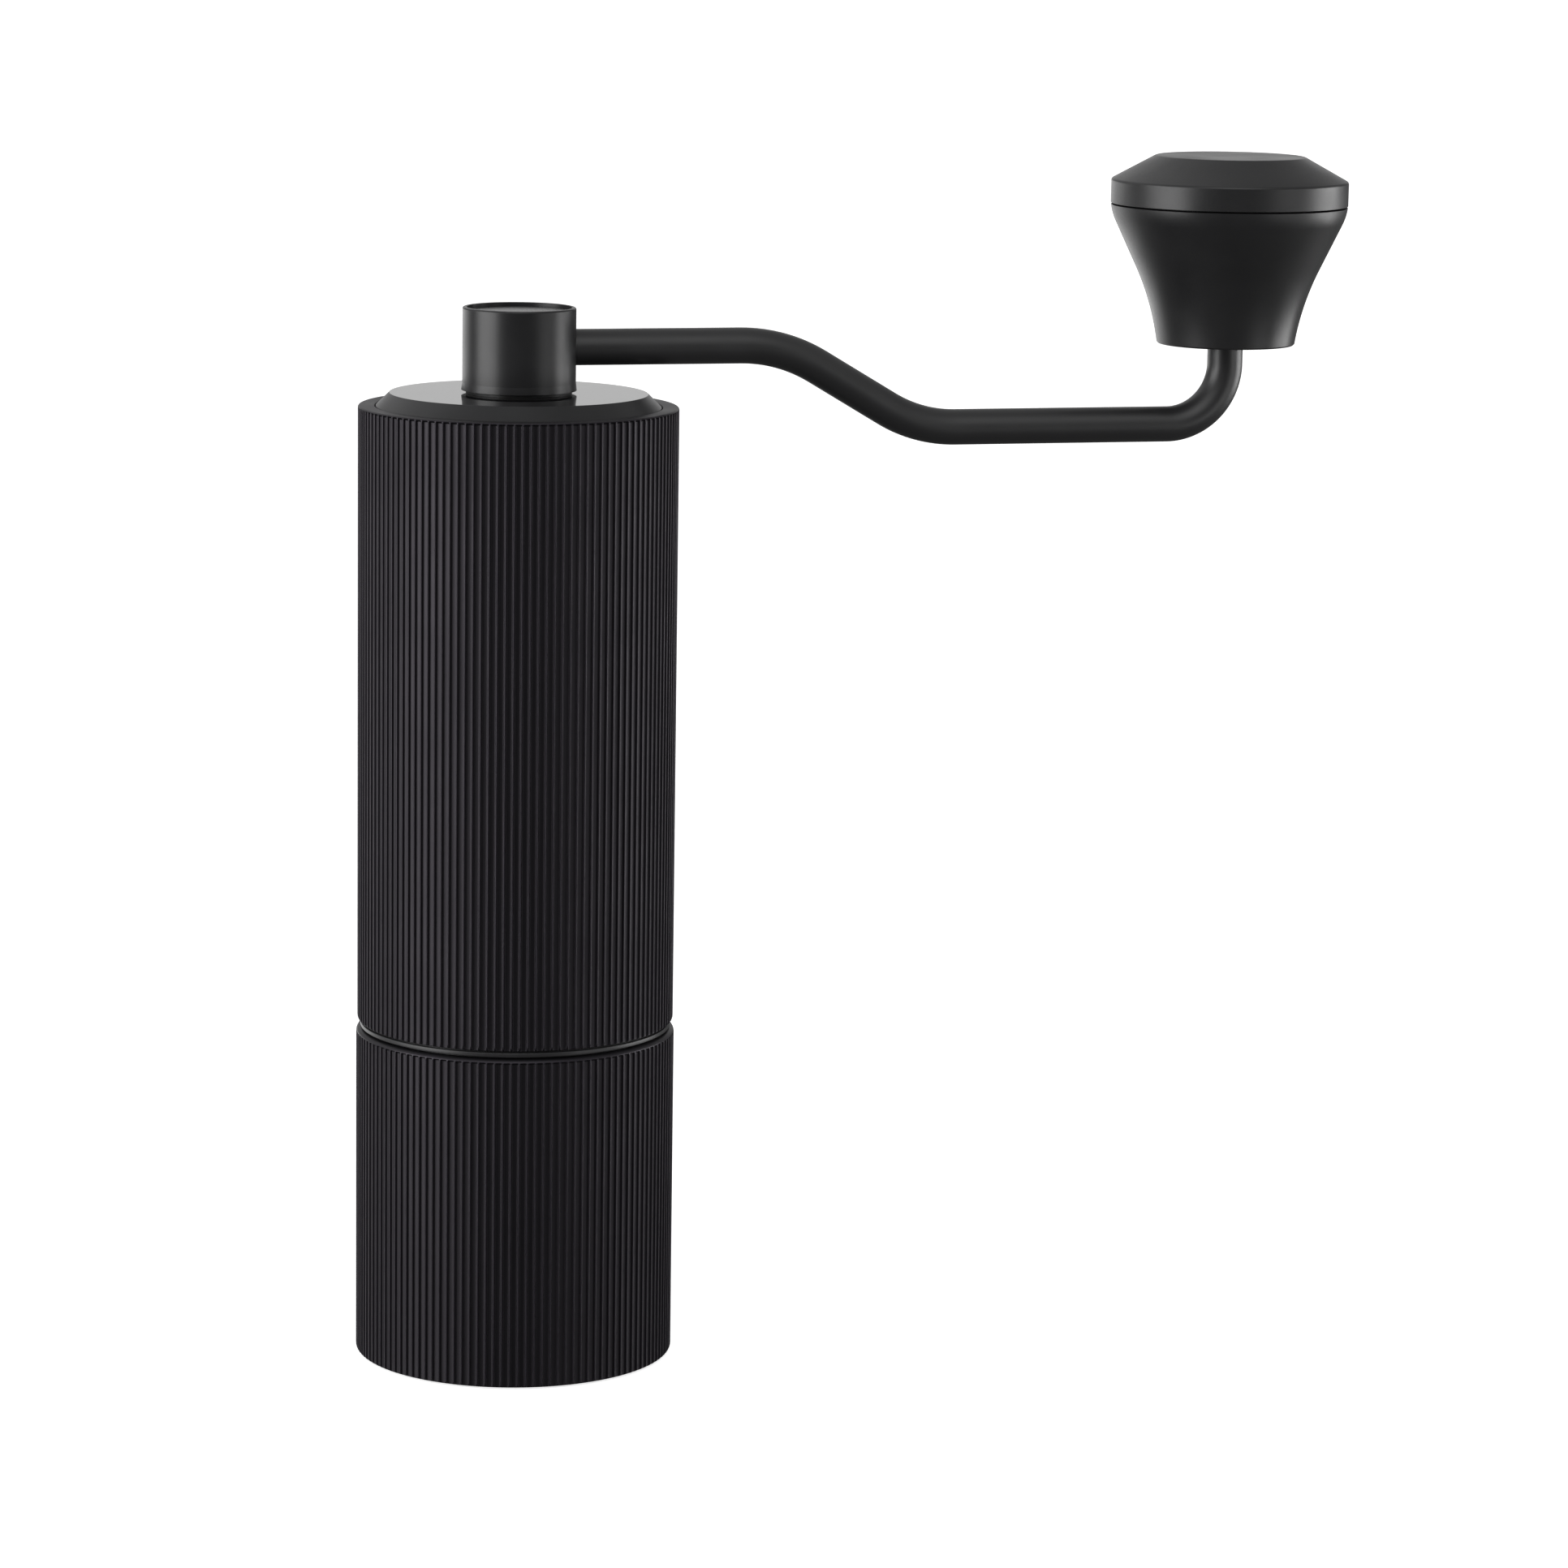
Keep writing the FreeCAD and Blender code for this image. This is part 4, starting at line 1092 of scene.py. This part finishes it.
def knob_shell():
    """A flared cone: hollow at the neck, straight, and full at the brow."""
    knob_r, foot, brow = reach("knob_cap"), low("knob_shell"), high("knob_shell")
    slope = (KNOB_SHOULDER - KNOB_NECK).normalized()
    neck = curve(KNOB_NECK, -slope, Vector((KNOB_FOOT_R, foot + 0.25 * MM)), 14)
    brow_curve = curve(KNOB_SHOULDER, slope, Vector((knob_r - 0.05 * MM, brow - 0.1 * MM)), 12)
    brow_r = knob_r - 0.2 * MM
    inner_brow_r = brow_r - KNOB_WALL
    core_low, core_high = KNOB_CORE
    bore_r = KNOB_BUSH_R + SEATED
    flange_r, flange_top = 5.4 * MM, foot + 0.5 * MM
    outline = [(p.x, p.y) for p in reversed(neck)] + [(p.x, p.y) for p in brow_curve]
    outline += [
        (brow_r, brow),
        (inner_brow_r, brow, 0.1 * MM),
        (inner_brow_r, 187 * MM, 1.5 * MM),
        (KNOB_NECK.x - KNOB_WALL, KNOB_NECK.y),
        (KNOB_FOOT_R - KNOB_WALL, core_low, 0.8 * MM),
        (KNOB_CORE_R, core_low, 0.8 * MM),
        (KNOB_CORE_R, core_high),
        (bore_r, core_high),
        (bore_r, flange_top),
        (flange_r, flange_top),
        (flange_r, foot, 0.1 * MM),
        (KNOB_FOOT_R - 0.25 * MM, foot, 0.12 * MM),
    ]
    piece = turned("knob_body", outline, KNOB_BLACK, columns=256, centre=knob_axis())
    place(piece, "knob", "knob_black", "knob_shell")


def knob_cap():
    knob_r, top, bottom = reach("knob_cap"), high("knob_cap"), low("knob_cap")
    seam = high("knob_shell") + 0.2 * MM
    spigot_r = knob_r - 2.22 * MM
    spigot_bore_r = spigot_r - 1.6 * MM
    ceiling = top - 2.2 * MM
    corners = [
        (spigot_bore_r, bottom, 0.3 * MM),
        (spigot_r, bottom, 0.3 * MM),
        (spigot_r, seam),
        (knob_r, seam, 0.08 * MM),
        (knob_r, KNOB_EDGE, 0.55 * MM),
        (KNOB_TOP_R, top, 1.0 * MM),
        (0, top),
        (0, ceiling),
        (KNOB_TOP_R - 0.5 * MM, ceiling),
        (spigot_bore_r, KNOB_EDGE - 1.6 * MM),
    ]
    piece = turned("knob_top", corners, KNOB_BLACK, columns=256, centre=knob_axis())
    place(piece, "knob", "knob_black", "knob_cap")


def knob_bush():
    foot, top = low("knob_lower_bush"), high("knob_lower_bush")
    bore_r, flange_r = PIN_R + RUNNING, reach("knob_lower_bush")
    flange_top = low("knob_shell") + 0.48 * MM
    corners = [
        (bore_r, foot, 0.1 * MM),
        (flange_r, foot, 0.1 * MM),
        (flange_r, flange_top),
        (KNOB_BUSH_R, flange_top),
        (KNOB_BUSH_R, top),
        (bore_r, top),
    ]
    piece = turned("knob_bush_low", corners, BUSH_DARK, columns=64, centre=knob_axis())
    place(piece, "knob", "bush_plastic", "knob_lower_bush")


# ---------------------------------------------------------------- studio

UP = Vector((0, 0, 1))
AWAY = Vector((math.sin(CAMERA_HEADING), math.cos(CAMERA_HEADING), 0))
RIGHT = Vector((math.cos(CAMERA_HEADING), -math.sin(CAMERA_HEADING), 0))

LIGHTS_AIM = Vector((0.03, 0, 0.1))
LIGHTS_DISTANCE = 1.1
SOFTBOXES = {
    # bearing in degrees from the camera, height over the aim, width and height, watts
    "left_softbox": (66, 0.08, (0.9, 0.82), 9.3),
    "right_softbox": (-103, -0.03, (0.75, 0.55), 5.4),
    "right_fill": (-56, -0.08, (0.5, 0.65), 1.2),
}


def camera():
    forward = AWAY * math.cos(CAMERA_TILT) - UP * math.sin(CAMERA_TILT)
    level_up = RIGHT.cross(forward)
    rolled_right = RIGHT * math.cos(CAMERA_ROLL) + level_up * math.sin(CAMERA_ROLL)
    rolled_up = level_up * math.cos(CAMERA_ROLL) - RIGHT * math.sin(CAMERA_ROLL)
    data = bpy.data.cameras.new("camera")
    data.lens = CAMERA_LENS
    data.sensor_width = SENSOR_WIDTH
    data.clip_start = 0.01
    data.clip_end = 100
    eye = bpy.data.objects.new("camera", data)
    turn = Matrix((rolled_right, rolled_up, -forward)).transposed().to_4x4()
    eye.matrix_world = Matrix.Translation(CAMERA_AT) @ turn
    bpy.context.scene.collection.objects.link(eye)
    bpy.context.scene.camera = eye


def softboxes():
    for name, (bearing, height, size, power) in SOFTBOXES.items():
        angle = CAMERA_HEADING + math.radians(bearing)
        outward = Vector((-math.sin(angle), -math.cos(angle), 0))
        data = bpy.data.lights.new(name, "AREA")
        data.shape = "RECTANGLE"
        data.size, data.size_y = size
        data.energy = power
        lamp = bpy.data.objects.new(name, data)
        lamp.location = LIGHTS_AIM + outward * LIGHTS_DISTANCE + UP * height
        lamp.rotation_euler = (LIGHTS_AIM - lamp.location).to_track_quat("-Z", "Y").to_euler()
        bpy.context.scene.collection.objects.link(lamp)


class StudioWorld(NodeMaker):
    """Light that depends on how far a direction points each way."""

    ramp_kind = "SMOOTHSTEP"

    def __init__(self, tree):
        super().__init__(tree)
        self.direction = self.node("ShaderNodeTexCoord").outputs["Generated"]

    def glow(self, axis, low_in, high_in, low_out, high_out):
        """A brightness that changes as directions turn towards an axis."""
        along = self.vector_maths("DOT_PRODUCT", self.direction, axis).outputs["Value"]
        return self.ramp(along, low_in, high_in, low_out, high_out)

    def total(self, first, *others):
        for other in others:
            first = self.maths("ADD", first, other)
        return first


def studio_world():
    """White to the camera. Of what lights the grinder, the back is bright and the front is dim."""
    world = bpy.data.worlds.new("studio")
    world.use_nodes = True
    bpy.context.scene.world = world
    studio = StudioWorld(world.node_tree)
    above = studio.total(
        studio.glow(UP, 0.02, 0.5, 0.05, 0.33),
        studio.glow(AWAY, 0.84, 0.98, 0, 0.68),
        studio.glow(0.5 * AWAY - 0.6 * RIGHT + 0.62 * UP, 0.7, 1.0, 0, 0.35),
        studio.glow(0.7 * UP - 0.7 * AWAY, 0.8, 0.98, 0, 1.0),
    )
    below = studio.total(
        studio.glow(RIGHT, 0.0, 0.9, 0.10, 0.13),
        studio.glow(0.85 * AWAY - 0.5 * RIGHT, 0.74, 0.97, 0, 1.6),
    )
    upper = studio.glow(UP, -0.02, 0.02, 0, 1)
    lower = studio.glow(UP, -0.02, 0.02, 1, 0)
    lit = studio.total(studio.maths("MULTIPLY", above, upper), studio.maths("MULTIPLY", below, lower))
    seen = studio.node("ShaderNodeLightPath").outputs["Is Camera Ray"]
    background = studio.nodes["Background"]
    background.inputs["Color"].default_value = (1, 1, 1, 1)
    studio.link(studio.maths("MAXIMUM", seen, lit), background.inputs["Strength"])


def floor():
    mesh_data = bmesh.new()
    bmesh.ops.create_circle(mesh_data, cap_ends=True, segments=96, radius=12)
    material = bpy.data.materials.new("floor_white")
    material.use_nodes = True
    shader = material.node_tree.nodes["Principled BSDF"]
    shader.inputs["Base Color"].default_value = (0.9, 0.9, 0.9, 1)
    shader.inputs["Roughness"].default_value = 0.9
    shader.inputs["Specular IOR Level"].default_value = 0.1
    shader.inputs["Emission Color"].default_value = (1, 1, 1, 1)
    shader.inputs["Emission Strength"].default_value = 0.75
    piece = to_object("floor", mesh_data, material)
    piece.visible_glossy = False
    piece.visible_diffuse = False
    piece.visible_shadow = False


# ---------------------------------------------------------------- making

dress_cad_nodes()
camera()
softboxes()
studio_world()
floor()
for make in (
    barrel, cup, foot_pad, housing, bridge, bearings, shaft, inner_burr, outer_burr, dial,
    seals, lid, lid_bush, hub, hub_cap, drive_socket, arm, knob_shell, knob_cap, knob_bush,
):
    make()

bpy.context.scene.view_settings.view_transform = "Standard"
